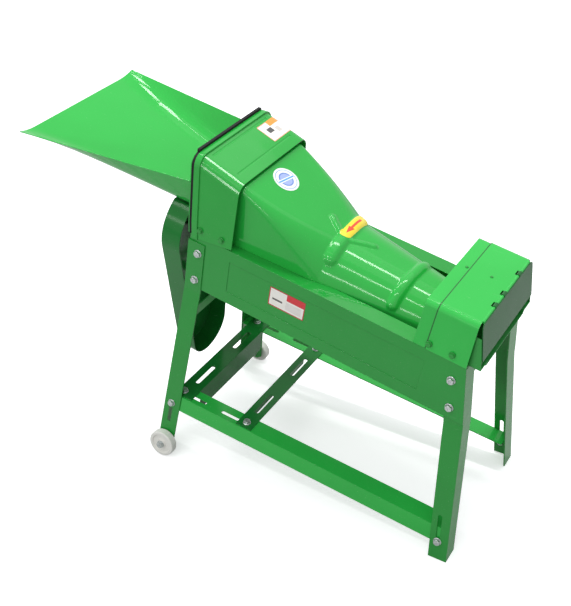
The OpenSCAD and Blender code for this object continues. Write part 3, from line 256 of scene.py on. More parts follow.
def colour_field(tree, base, uv, box, colour):
    """Lays a plain colour over base inside a box of the label's UV map: its middle and half sizes."""
    off = add(tree, "VectorMath", {0: uv, 1: (box[0], box[1], 0)}, operation="SUBTRACT")
    away = add(tree, "VectorMath", {0: off}, operation="ABSOLUTE")
    split = add(tree, "SeparateXYZ", {0: away})
    wide = add(tree, "Math", {0: (split, "X"), 1: box[2]}, operation="LESS_THAN")
    high = add(tree, "Math", {0: (split, "Y"), 1: box[3]}, operation="LESS_THAN")
    inside = add(tree, "Math", {0: wide, 1: high}, operation="MULTIPLY")
    return add(tree, "Mix", {0: inside, 6: base, 7: colour}, data_type="RGBA"), 2


def printed_vinyl(name, edge, fields):
    """Printed vinyl under clear film: flat colour fields, a coloured edge and a faint yellow cast."""
    def surface(tree, place):
        face = edge
        for box, colour in fields:
            face = colour_field(tree, face, (place, "UV"), box, colour)
        cloud = add(tree, "TexNoise", {"Vector": (place, "Object"), "Scale": cells(12), "Detail": 3.0})
        cast = add(tree, "MapRange", {"Value": (cloud, "Fac"), "From Min": 0.4, "From Max": 0.8,
                                      "To Max": 0.2})
        aged = add(tree, "Mix", {0: cast, 6: face, 7: linear("DCD3BC")}, data_type="RGBA",
                   blend_type="MULTIPLY")
        ripple = add(tree, "TexNoise", {"Vector": (place, "Object"), "Scale": cells(7), "Detail": 2.0})
        normal = add(tree, "Bump", {"Height": (ripple, "Fac"), "Distance": 0.04 * MM})
        return {"Base Color": (aged, 2), "Normal": normal}
    return new_finish(name, surface, Roughness=0.3, IOR=1.5, Coat_Weight=0.3, Coat_Roughness=0.1)


def ring_vinyl(name):
    """Round printed vinyl: white with a thin blue line, a lilac blue middle and a plain band across it."""
    def surface(tree, place):
        centred = add(tree, "Mapping", {"Vector": (place, "UV"), "Location": (-0.5, -0.5, 0)})
        out = add(tree, "VectorMath", {0: centred}, operation="LENGTH")
        rings = add(tree, "ValToRGB", {"Fac": (out, "Value")}, stops=[
            (0.0, linear("A3B4E6")), (0.24, linear("6E8CD2")), (0.29, linear("F3F6F6")),
            (0.40, linear("7FA6DA")), (0.425, linear("F3F6F6"))])
        rings.color_ramp.interpolation = "CONSTANT"
        across = add(tree, "Mapping", {"Vector": centred, "Rotation": (0, 0, math.radians(100))})
        banded = colour_field(tree, rings, (across, 0), (0, 0, 0.4, 0.065), linear("F3F6F6"))
        striped = colour_field(tree, banded, (across, 0), (0, 0, 0.38, 0.03), linear("5FA9DE"))
        ripple = add(tree, "TexNoise", {"Vector": (place, "Object"), "Scale": cells(7), "Detail": 2.0})
        normal = add(tree, "Bump", {"Height": (ripple, "Fac"), "Distance": 0.04 * MM})
        return {"Base Color": striped, "Normal": normal}
    return new_finish(name, surface, Roughness=0.3, IOR=1.5, Coat_Weight=0.3, Coat_Roughness=0.1)


def arrow_vinyl(name):
    """Yellow printed vinyl with a plain red arrow along it."""
    def surface(tree, place):
        split = add(tree, "SeparateXYZ", {0: (place, "UV")})
        off = add(tree, "Math", {0: (split, "Y"), 1: 0.5}, operation="SUBTRACT")
        away = add(tree, "Math", {0: off}, operation="ABSOLUTE")
        bar = colour_field(tree, (0, 0, 0, 1), (place, "UV"), (0.55, 0.5, 0.26, 0.11), (1, 1, 1, 1))
        # The head narrows to a point at its near end
        reach = add(tree, "Math", {0: (split, "X"), 1: 1.05, 2: -0.12}, operation="MULTIPLY_ADD")
        slope = add(tree, "Math", {0: away, 1: reach}, operation="LESS_THAN")
        start = add(tree, "Math", {0: (split, "X"), 1: 0.38}, operation="LESS_THAN")
        head = add(tree, "Math", {0: slope, 1: start}, operation="MULTIPLY")
        arrow = add(tree, "Math", {0: bar, 1: head}, operation="MAXIMUM")
        cloud = add(tree, "TexNoise", {"Vector": (place, "Object"), "Scale": cells(15), "Detail": 2.0})
        yellow = add(tree, "Mix", {0: (cloud, "Fac"), 6: linear("F3CF12"), 7: linear("FFEA3C")},
                     data_type="RGBA")
        face = add(tree, "Mix", {0: arrow, 6: (yellow, 2), 7: linear("E0401C")}, data_type="RGBA")
        normal = add(tree, "Bump", {"Height": (cloud, "Fac"), "Distance": 0.05 * MM})
        return {"Base Color": (face, 2), "Normal": normal}
    return new_finish(name, surface, Roughness=0.32, IOR=1.5, Coat_Weight=0.3, Coat_Roughness=0.1)


# ---- Settings ----

class SHELLER_PG_settings(bpy.types.PropertyGroup):
    """Sizes and colours that a user may change."""
    green: FloatVectorProperty(name="Sheet green",
                               description="Enamel on the hopper, the upper cover and other sheet",
                               subtype="COLOR", size=4, min=0, max=1, default=linear("2BB446"))
    # The panel and frame greens are darker copies of the sheet green: painted shade on parts mostly seen from
    # their shaded sides
    panel_green: FloatVectorProperty(name="Panel green", description="Enamel on the two side panels",
                                     subtype="COLOR", size=4, min=0, max=1, default=linear("26A03E"))
    frame_green: FloatVectorProperty(name="Frame green",
                                     description="Enamel on the legs and other frame parts",
                                     subtype="COLOR", size=4, min=0, max=1, default=linear("269C3C"))
    nylon: FloatVectorProperty(name="Wheel white", description="Nylon of the transport wheels",
                               subtype="COLOR", size=4, min=0, max=1, default=linear("F2F0EA"))
    label_thick: FloatProperty(name="Label thickness", description="Thickness of a vinyl label",
                               unit="LENGTH", min=0.0001, max=0.001, default=0.0003)
    round_label: FloatProperty(name="Round label diameter", description="Diameter of the round label",
                               unit="LENGTH", min=0.02, max=0.08, default=0.057)
    arrow_length: FloatProperty(name="Arrow label length",
                                description="Length of the yellow label over the rib",
                                unit="LENGTH", min=0.04, max=0.12, default=0.092)
    rib_height: FloatProperty(name="Rib height", description="Height of the cover's first pressed rib",
                              unit="LENGTH", min=0.004, max=0.009, default=0.008)


# ---- Modelling helpers ----

def nothing_selected():
    """Leaves edit mode and selects nothing."""
    if bpy.context.object and bpy.context.object.mode != "OBJECT":
        bpy.ops.object.mode_set(mode="OBJECT")
    bpy.ops.object.select_all(action="DESELECT")


def only(piece):
    """Selects one piece and makes it active."""
    nothing_selected()
    piece.select_set(True)
    bpy.context.view_layer.objects.active = piece


def named(name):
    """Names the primitive just added."""
    piece = bpy.context.object
    piece.name = name
    piece.data.name = name
    return piece


def keep_place(piece):
    """Puts the piece's place into its mesh, so that its object sits at the origin, unturned."""
    only(piece)
    bpy.ops.object.transform_apply(location=True, rotation=True, scale=True)


def apply_all(piece):
    """Applies a piece's modifiers in their order."""
    only(piece)
    for modifier in list(piece.modifiers):
        bpy.ops.object.modifier_apply(modifier=modifier.name)


def placed(matrix):
    """Location and rotation of a matrix, as a primitive takes them."""
    return {"location": matrix.to_translation(), "rotation": matrix.to_euler()}


def on_body(x, y, z, turn=Matrix.Identity(4)):
    """World matrix of a place in the body frame, in millimetres, with a turn there."""
    return BODY @ Matrix.Translation((x * MM, y * MM, z * MM)) @ turn


def dress(piece, body, material):
    """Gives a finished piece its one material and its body."""
    piece.data.materials.clear()
    piece.data.materials.append(material)
    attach(piece, body)


def slot_paint(slot, material):
    """Puts a finish on every CAD node of a material slot."""
    for part in frame["record"]["subparts"]:
        if part["material_slot"] == slot:
            mesh = frame["nodes"][part["node"]].data
            mesh.materials.clear()
            mesh.materials.append(material)


# ---- Operators ----

class SHELLER_OT_paint_sheet(bpy.types.Operator):
    """Enamels the sheet parts, the inner sheet and the painted bolts"""
    bl_idname = "sheller.paint_sheet"
    bl_label = "Paint sheet parts"

    def execute(self, context):
        green = tuple(context.scene.sheller.green)
        slot_paint("body_enamel", enamel("gloss_green_enamel", green, linear("27A940"), 0.07, 0.10))
        slot_paint("inner_enamel",
                   enamel("inner_green_enamel", linear("2FA343"), linear("278E39"), 0.3, 0.2))
        slot_paint("painted_hardware",
                   enamel("bolt_green_enamel", linear("2FA042"), linear("278C38"), 0.24, 0.15))
        return {"FINISHED"}


class SHELLER_OT_paint_frame(bpy.types.Operator):
    """Enamels the frame, rails, panels, hood, guard, flap and tail in lighter and darker greens: painted light and
    shade
    """
    bl_idname = "sheller.paint_frame"
    bl_label = "Paint frame"

    def execute(self, context):
        sizes = context.scene.sheller
        # Frame: a darker copy of the green, painted shade
        slot_paint("frame_enamel",
                   enamel("frame_green_enamel", tuple(sizes.frame_green), linear("218F35"), 0.12, 0.14))
        # Side panels: a darker copy of the green, painted shade on their sides
        panels = enamel("panel_green_enamel", tuple(sizes.panel_green), linear("229438"), 0.08, 0.1)
        # Belt guard and motor rails: a darker copy of the green that is painted shade, for parts low in the body's
        # shadow
        shaded = enamel("guard_and_rail_painted_shade_enamel", linear("1D8033"), linear("19702D"), 0.15, 0.16, shine=0.3)
        # Flap: a darker, greyer copy of the green that is painted shade, as the flap hangs turned away from the
        # light
        worn = enamel("flap_painted_shade_enamel", linear("2C7039"), linear("276534"), 0.2, 0.12, shine=0.2)
        # Tail cover: a lighter copy of the green that is painted light, for its brightly lit roof
        tail = enamel("lapped_green_enamel", linear("33C650"), linear("2DB948"), 0.07, 0.1, LAP_X)
        # Hood: a darker copy of the green, painted shade
        hood = enamel("hood_green_enamel", linear("28AA40"), linear("249C3A"), 0.07, 0.1)
        # Bottom rails: a lighter copy of the green, painted light on their lit near faces
        rails = enamel("rail_green_enamel", linear("30BE4B"), linear("2BB045"), 0.12, 0.14)
        for paint, names in ((panels, ("front_side_panel", "rear_side_panel")),
                             (hood, ("feed_hood",)),
                             (rails, ("front_bottom_rail", "rear_bottom_rail")),
                             (shaded, ("belt_guard", "motor_rail_outer", "motor_rail_inner")),
                             (worn, ("discharge_flap",)), (tail, ("tail_cover_inner", "tail_cover_outer"))):
            for name in names:
                frame["nodes"][name].data.materials[0] = paint
        return {"FINISHED"}


class SHELLER_OT_finish_metal(bpy.types.Operator):
    """Finishes the plated bolts, the rotor, the grate and the pulley"""
    bl_idname = "sheller.finish_metal"
    bl_label = "Finish metal"

    def execute(self, context):
        slot_paint("zinc_hardware", zinc_plate("bright_zinc_plate", linear("DADDDC"), 0.22))
        slot_paint("bright_steel", worked_steel("ground_bearing_steel", linear("B9BCBD"), 0.05, 0.8))
        slot_paint("bare_steel", worked_steel("bare_rolled_steel", linear("8E9092"), 0.4, 1.2))
        slot_paint("cast_pulley", worked_steel("turned_cast_iron", linear("5E6062"), 0.25, 0.9))
        return {"FINISHED"}


class SHELLER_OT_finish_soft(bpy.types.Operator):
    """Finishes the wheels and the hood's rubber strip"""
    bl_idname = "sheller.finish_soft"
    bl_label = "Finish wheels and strip"

    def execute(self, context):
        slot_paint("white_nylon", moulded_nylon("white_moulded_nylon", tuple(context.scene.sheller.nylon)))
        slot_paint("black_rubber", sheet_rubber("black_sheet_rubber", linear("0C0D0E")))
        return {"FINISHED"}


# ---- Upper cover ----

# Along the body: the cover's end under the hood, where its section starts to change, the first rib, where
# it has narrowed to the tail, and its end
COVER_X = (-560, -520, -335, -105, -102)
# Half width, height over the axis and corner radius of its section at the hood, the first rib and the tail
COVER_AT_HOOD = (113, 179, 14)
COVER_AT_RIB = (106, 106, 85)
COVER_AT_TAIL = (78, 78, 72.5)
# Skirt: gap over the panel flange, where it turns down into the body, its slope from there, and its lowest
# height over the axis
SKIRT_GAP, SKIRT_TURN, SKIRT_SLOPE, SKIRT_LOW = 0.3, -284, 2.6, 2.2
# Pressed ribs and spurs: height as a share of the first rib, start and end as [x, angle], half width, and
# millimetres to a degree there
COVER_MARKS = (
    (1, (-334, 58), (-328, 130), 13, 1.8),
    (0.81, (-176, 64), (-184, 146), 11, 1.6),
    (0.62, (-340, 99), (-373, 89), 7, 1.8),
    (0.62, (-326, 103), (-275, 89), 7, 1.7),
)
# Faces along and round it
COVER_GRID = (210, 170)


def between(x, x0, x1):
    """How far x lies from x0 to x1, held within 0 and 1."""
    return min(1.0, max(0.0, (x - x0) / (x1 - x0)))


def cover_section(x):
    """Half width, height over the axis and corner radius of the cover's section."""
    t, tail = between(x, COVER_X[1], COVER_X[2]), between(x, COVER_X[2], COVER_X[3])
    if x < COVER_X[2]:
        half, high = (a + (b - a) * t for a, b in zip(COVER_AT_HOOD[:2], COVER_AT_RIB[:2]))
        # The corners open slowly at first
        return half, high, COVER_AT_HOOD[2] + (COVER_AT_RIB[2] - COVER_AT_HOOD[2]) * t * (0.3 + 0.7 * t)
    return tuple(a + (b - a) * tail for a, b in zip(COVER_AT_RIB, COVER_AT_TAIL))


def cover_foot(x):
    """Lowest edge of the skirt over the axis: on the panel flange, then down inside the body."""
    return max(SKIRT_LOW, SKIRT_GAP - max(0, x - SKIRT_TURN) * SKIRT_SLOPE - AXIS)


def cover_half(x, u):
    """Point on half a section, u from its foot to the middle of its top, more of it near a tight corner."""
    a, b, c = cover_section(x)
    foot = cover_foot(x)
    turn = math.asin(min(1, max(0, (foot - b + c) / c)))
    side = max(0, b - c - foot)
    arc = (1 + 4 * (1 - between(x, COVER_X[1], COVER_X[2])) ** 2) * c * (math.pi / 2 - turn)
    d = u * (side + arc + a - c)
    if d < side:
        return a, foot + d
    if d < side + arc:
        q = turn + (math.pi / 2 - turn) * (d - side) / arc
        return a - c + c * math.cos(q), b - c + c * math.sin(q)
    return side + arc + a - c - d, b


def bead(x, phi, start, end, width, k):
    """Height, 0 to 1, of a rounded bead between two [x, angle] places; k is millimetres to a degree."""
    a, b, q = Vector((start[0], start[1] * k)), Vector((end[0], end[1] * k)), Vector((x, phi * k))
    t = min(1, max(0, (q - a).dot(b - a) / (b - a).dot(b - a)))
    away = (q - a - t * (b - a)).length / width
    if away >= 1.25:
        return 0
    # A small fillet where the bead meets the sheet
    return (1 - away * away) ** 0.6 if away < 0.93 else 0.3 * ((1.25 - away) / 0.32) ** 2


def cover_mark(x, phi, rib):
    """Height in millimetres of the pressed ribs and spurs."""
    return max(share * rib * bead(x, phi, *mark) for share, *mark in COVER_MARKS)


class SHELLER_OT_cover(bpy.types.Operator):
    """Forms the upper cover: square at the hood, round from the first rib, with pressed ribs and spurs"""
    bl_idname = "sheller.cover"
    bl_label = "Form upper cover"

    def execute(self, context):
        nothing_selected()
        bpy.ops.mesh.primitive_grid_add(x_subdivisions=COVER_GRID[0], y_subdivisions=COVER_GRID[1], size=1)
        cover = named("formed_upper_cover")
        rib = context.scene.sheller.rib_height / MM
        for vertex in cover.data.vertices:
            x = COVER_X[0] + (vertex.co.x + 0.5) * (COVER_X[4] - COVER_X[0])
            s = vertex.co.y + 0.5
            y, z = cover_half(x, min(2 * s, 2 - 2 * s))
            y = -y if s < 0.5 else y
            phi = math.atan2(z, y)
            h = cover_mark(x, math.degrees(phi), rib)
            vertex.co = (x * MM, (y + h * math.cos(phi)) * MM, (AXIS + z + h * math.sin(phi)) * MM)
        wall = cover.modifiers.new("Sheet", "SOLIDIFY")
        wall.thickness = SHEET * MM
        wall.offset = -1
        apply_all(cover)
        cover.data.transform(BODY)
        bpy.ops.object.mode_set(mode="EDIT")
        bpy.ops.mesh.select_all(action="SELECT")
        bpy.ops.mesh.normals_make_consistent(inside=False)
        bpy.ops.object.mode_set(mode="OBJECT")
        bpy.ops.object.shade_smooth_by_angle(angle=math.radians(40))
        dress(cover, "frame", bpy.data.materials["gloss_green_enamel"])
        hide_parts("upper_cover")
        return {"FINISHED"}


# ---- Labels ----

# Middles of the labels in the body frame, in millimetres
HOOD_LABEL = (-567, 83.5, 190)
PANEL_LABEL = (-377, -160, -58.2)
ROUND_LABEL = (-469, -8, 160)
ARROW_LABEL = (-332.5, 19, 120)
# Lengths, widths and corners, in metres
HOOD_LABEL_SIZE = (0.067, 0.048)
PANEL_LABEL_SIZE = (0.082, 0.0455)
LABEL_CORNER = 0.001
ARROW_WIDTH = 0.024
ARROW_CORNER = 0.0105
# Slopes of the hood's roof and of the cover's top under their labels, and a quarter turn
ROOF_LEAN = math.radians(14)
COVER_LEAN = math.radians(22)
QUARTER = math.radians(90)


def lay_label(name, matrix, length, width, target, material, corner, steps):
    """Vinyl label: a fine grid with rounded corners, laid on a piece along its own -Z and thickened."""
    nothing_selected()
    rows = max(6, int(steps * width / length))
    bpy.ops.mesh.primitive_grid_add(x_subdivisions=steps, y_subdivisions=rows, size=1, **placed(matrix))
    label = named(name)
    label.scale = (length, width, 1)
    bpy.ops.object.transform_apply(location=False, rotation=False, scale=True)
    for vertex in label.data.vertices:
        dx, dy = abs(vertex.co.x) - (length / 2 - corner), abs(vertex.co.y) - (width / 2 - corner)
        if dx > 0 and dy > 0:
            k = min(1, max(dx, dy) / math.hypot(dx, dy))
            vertex.co.x = math.copysign(length / 2 - corner + dx * k, vertex.co.x)
            vertex.co.y = math.copysign(width / 2 - corner + dy * k, vertex.co.y)
    drape(label, target)
    dress(label, "frame", material)


def drape(label, target):
    """Projects a label on its target, just clear of it, and gives the film its thickness."""
    only(label)
    wrap = label.modifiers.new("Lay", "SHRINKWRAP")
    wrap.target = target
    wrap.wrap_method = "PROJECT"
    wrap.use_project_z = True
    wrap.use_negative_direction = True
    wrap.use_positive_direction = False
    wrap.offset = 0.15 * MM
    apply_all(label)
    film = label.modifiers.new("Film", "SOLIDIFY")
    film.thickness = bpy.context.scene.sheller.label_thick
    film.offset = 1
    apply_all(label)
    keep_place(label)
    bpy.ops.object.shade_smooth_by_angle(angle=math.radians(35))


class SHELLER_OT_flat_labels(bpy.types.Operator):
    """Lays the plain labels on the hood and on the near panel"""
    bl_idname = "sheller.flat_labels"
    bl_label = "Lay hood and panel labels"

    def execute(self, context):
        roof = Matrix.Rotation(ROOF_LEAN, 4, "Y") @ Matrix.Rotation(QUARTER, 4, "Z")
        white = linear("F6F3EC")
        hood_print = printed_vinyl("hood_label_vinyl", linear("E9A98B"), [
            ((0.5, 0.5, 0.475, 0.46), white),
            ((0.71, 0.86, 0.25, 0.15), linear("F39A35")),
            ((0.32, 0.55, 0.12, 0.13), linear("4A4A48")),
            ((0.62, 0.4, 0.09, 0.15), linear("CFC9C2"))])
        lay_label("hood_label", on_body(*HOOD_LABEL, roof), *HOOD_LABEL_SIZE,
                  frame["nodes"]["feed_hood"], hood_print, LABEL_CORNER, 36)
        side = Matrix.Rotation(QUARTER, 4, "X")
        panel_print = printed_vinyl("panel_label_vinyl", linear("C3242E"), [
            ((0.5, 0.5, 0.475, 0.45), white),
            ((0.73, 0.8, 0.245, 0.17), linear("D8202C")),
            ((0.7, 0.34, 0.22, 0.2), linear("E9E3DF")),
            ((0.24, 0.42, 0.14, 0.05), linear("5A5856"))])
        lay_label("panel_label", on_body(*PANEL_LABEL, side), *PANEL_LABEL_SIZE,
                  frame["nodes"]["front_side_panel"], panel_print, LABEL_CORNER, 12)
        return {"FINISHED"}


class SHELLER_OT_cover_labels(bpy.types.Operator):
    """Lays the round label and the arrow label on the upper cover"""
    bl_idname = "sheller.cover_labels"
    bl_label = "Lay cover labels"

    def execute(self, context):
        sizes = context.scene.sheller
        cover = bpy.data.objects["formed_upper_cover"]
        nothing_selected()
        lean = Matrix.Rotation(COVER_LEAN, 4, "Y")
        bpy.ops.mesh.primitive_circle_add(vertices=56, radius=sizes.round_label / 2, fill_type="TRIFAN",
                                          **placed(on_body(*ROUND_LABEL, lean)))
        disc = named("round_label")
        bpy.ops.object.mode_set(mode="EDIT")
        bpy.ops.mesh.select_all(action="SELECT")
        bpy.ops.mesh.subdivide(number_cuts=4)
        bpy.ops.object.mode_set(mode="OBJECT")
        drape(disc, cover)
        dress(disc, "frame", ring_vinyl("round_label_vinyl"))
        over = Matrix.Rotation(QUARTER, 4, "Z")
        lay_label("arrow_label", on_body(*ARROW_LABEL, over), sizes.arrow_length, ARROW_WIDTH, cover,
                  arrow_vinyl("arrow_label_vinyl"), ARROW_CORNER, 60)
        return {"FINISHED"}


# ---- Fasteners ----

# Sizes in shank radii: the hexagon's corners, the round face that turning them off leaves, the lathe's
# reach, the heights of head and nut, the thread's pitch and root, and the washer
HEX_WIDE, HEX_FLAT, LATHE_WIDE = 1.87, 1.56, 2.2
HEAD_HIGH, NUT_HIGH = 1.3, 1.6
THREAD_PITCH, THREAD_ROOT = 0.3, 0.88
WASHER_WIDE = 2.2
# CAD node, shank radius and length in millimetres, and slot of the bolts; CAD node and radius of the nuts
BOLTS = (
    ("leg_bolts", 4, 16, "zinc_hardware"),
    ("rail_bolts", 4, 16, "zinc_hardware"),
    ("motor_rail_bolts", 4, 14, "zinc_hardware"),
    ("hood_bolts", 3, 13, "painted_hardware"),
    ("tail_bolts", 3, 13, "painted_hardware"),
)
NUTS = (("leg_nuts", 4), ("rail_nuts", 4), ("motor_rail_nuts", 4), ("axle_nuts", 4), ("cover_nuts", 3))


def fastener_places(node):
    """Frames of a CAD node's bolts or nuts, Z towards the widest end, and their reach along Z each way."""
    shape = bmesh.new()
    shape.from_mesh(frame["nodes"][node].data)
    bmesh.ops.remove_doubles(shape, verts=shape.verts, dist=1e-5)
    left = set(shape.verts)
    places = []
    while left:
        island, queue = [], [left.pop()]
        while queue:
            vertex = queue.pop()
            island.append(vertex.co.copy())
            for edge in vertex.link_edges:
                other = edge.other_vert(vertex)
                if other in left:
                    left.remove(other)
                    queue.append(other)
        places.append(island_frame(np.array(island)))
    shape.free()
    return places


def island_frame(points):
    """Frame on the axis of a turned or hexagonal solid, and its reach along it each way."""
    middle = points.mean(axis=0)
    values, vectors = np.linalg.eigh(np.cov((points - middle).T))
    axis = vectors[:, 0 if values[1] - values[0] > values[2] - values[1] else 2]
    along = (points - middle) @ axis
    wide = np.linalg.norm(points - middle - np.outer(along, axis), axis=1)
    if along[wide > wide.max() - 1e-4].mean() < 0:
        axis, along = -axis, -along
    turn = Vector(axis).to_track_quat("Z", "Y").to_matrix().to_4x4()
    return Matrix.Translation(Vector(middle)) @ turn, float(along.min()), float(along.max())


def turned(name, profile, segments):
    """Solid turned round Z from [radius, z] points that start and end on the axis."""
    nothing_selected()
    bpy.ops.mesh.primitive_circle_add(vertices=len(profile), radius=1)
    solid = named(name)
    for vertex, (r, z) in zip(solid.data.vertices, profile):
        vertex.co = (r, 0, z)
    for edge in solid.data.edges:
        edge.select = all(solid.data.vertices[i].co.x == 0 for i in edge.vertices)
    for vertex in solid.data.vertices:
        vertex.select = vertex.co.x == 0
    bpy.ops.object.mode_set(mode="EDIT")
    bpy.context.tool_settings.mesh_select_mode = (False, True, False)
    bpy.ops.mesh.delete(type="EDGE")
    bpy.context.tool_settings.mesh_select_mode = (True, False, False)
    bpy.ops.mesh.select_all(action="SELECT")
    bpy.ops.mesh.spin(steps=segments, angle=math.radians(360), center=(0, 0, 0), axis=(0, 0, 1))
    bpy.ops.mesh.select_all(action="SELECT")
    bpy.ops.mesh.remove_doubles(threshold=1e-6)
    bpy.ops.mesh.normals_make_consistent(inside=False)
    bpy.ops.object.mode_set(mode="OBJECT")
    return solid


def combine(piece, tool, operation):
    """Joins, cuts or keeps the common part of two solids, and drops the second."""
    only(piece)
    step = piece.modifiers.new("Combine", "BOOLEAN")
    step.object = tool
    step.operation = operation
    step.solver = "EXACT"
    apply_all(piece)
    bpy.data.objects.remove(tool)


def cut_hexagon(name, r, low, high, both):
    """Hexagon from low to high along Z with its corners turned off at 30 degrees, at one end or both."""
    nothing_selected()
    bpy.ops.mesh.primitive_cylinder_add(vertices=6, radius=HEX_WIDE * r, depth=high - low + r,
                                        location=(0, 0, (low + high) / 2))
    head = named(name)
    keep_place(head)
    flat, wide = HEX_FLAT * r, LATHE_WIDE * r
    drop = (wide - flat) * math.tan(math.radians(30))
    start = [(0, low), (flat, low), (wide, low + drop)] if both else [(0, low), (wide, low)]
    combine(head, turned("lathe", start + [(wide, high - drop), (flat, high), (0, high)], 48), "INTERSECT")
    return head


def joined(name, parts):
    """Joins parts into one named object."""
    nothing_selected()
    for part in parts:
        part.select_set(True)
    bpy.context.view_layer.objects.active = parts[0]
    if len(parts) > 1:
        bpy.ops.object.join()
    return named(name)


def model_bolt(r, length, washer):
    """Bolt with a cut hexagon head, a rounded washer and a threaded end, clamping at Z 0."""
    pitch = THREAD_PITCH * r
    turns = int(0.5 * length / pitch)
    thread = []
    for i in range(turns):
        z = 0.12 * r + i * pitch - length
        thread += [(THREAD_ROOT * r, z), (r, z + 0.4 * pitch), (THREAD_ROOT * r, z + 0.8 * pitch)]
    shank = turned("shank", [(0, -length), (0.8 * r, -length)] + thread
                   + [(r, turns * pitch + 0.3 * r - length), (r, washer), (0, washer)], 20)
    ring = turned("washer", [(0, 0.01 * washer), (2.13 * r, 0.01 * washer), (WASHER_WIDE * r, 0.2 * washer),
                             (WASHER_WIDE * r, 0.75 * washer), (2.05 * r, washer), (0, washer)], 28)
    return joined("bolt", [cut_hexagon("head", r, washer, washer + HEAD_HIGH * r, False), shank, ring])


def model_nut(r):
    """Nut with a cut hexagon and a bore, from Z 0 to its height."""
    height = NUT_HIGH * r
    nut = cut_hexagon("nut", r, 0, height, True)
    bpy.ops.mesh.primitive_cylinder_add(vertices=28, radius=1.01 * r, depth=3 * height,
                                        location=(0, 0, height / 2))
    combine(nut, named("bore"), "DIFFERENCE")
    return nut


def set_fasteners(node, model, lift, material):
    """Copies a modelled fastener to every place of a CAD node, as one piece that stands for the node."""
    copies = []
    for matrix, low, high in fastener_places(node):
        copy = bpy.data.objects.new("copy", model.data.copy())
        bpy.context.scene.collection.objects.link(copy)
        copy.data.transform(matrix @ Matrix.Translation((0, 0, low if lift is None else high - lift)))
        copies.append(copy)
    piece = joined("detailed_" + node, copies)
    only(piece)
    bpy.ops.object.shade_smooth_by_angle(angle=math.radians(30))
    bpy.data.objects.remove(model)
    dress(piece, "frame", material)
    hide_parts(node)


class SHELLER_OT_fasteners(bpy.types.Operator):
    """Models the bolts and nuts with cut heads, washers and threads in place of the plain ones"""
    bl_idname = "sheller.fasteners"
    bl_label = "Model fasteners"

    def execute(self, context):
        zinc = bpy.data.materials["bright_zinc_plate"]
        finishes = {"zinc_hardware": zinc, "painted_hardware": bpy.data.materials["bolt_green_enamel"]}
        washer = WASHER * MM
        for node, r, length, slot in BOLTS:
            bolt = model_bolt(r * MM, length * MM, washer)
            set_fasteners(node, bolt, washer + HEAD_HIGH * r * MM, finishes[slot])
        for node, r in NUTS:
            set_fasteners(node, model_nut(r * MM), None, zinc)
        return {"FINISHED"}


# ---- Stage ----

# Side of the floor and its gap under the feet, in metres
FLOOR_SIZE, FLOOR_GAP = 14, 0.0005
# Light that the floor adds to its shade, the share of it that gloss paint shows, and the room's soft level
FLOOR_LIFT, FLOOR_MIRRORED, ROOM_LEVEL = 0.5, 0.3, 0.55
# Place, the point it faces and size of each lamp, in metres, and its power in watts. The strips draw the
# long highlights along the ridge, the ribs and the near sides
LAMPS = (
    ("roof_softbox", (0.25, 0.75, 3.0), (0, 0, 0.5), (2.6, 2.6), 14),
    ("ridge_strip", (-0.85, 0.35, 2.6), (-0.85, 0.35, 0), (3.5, 0.2), 40),
    ("middle_strip", (-0.2, -1.4, 2.6), (-0.2, 0, 0.6), (2.4, 0.1), 13),
    ("near_strip", (-0.35, -2.4, 1.5), (-0.35, 0, 0.6), (2.4, 0.11), 13),
)


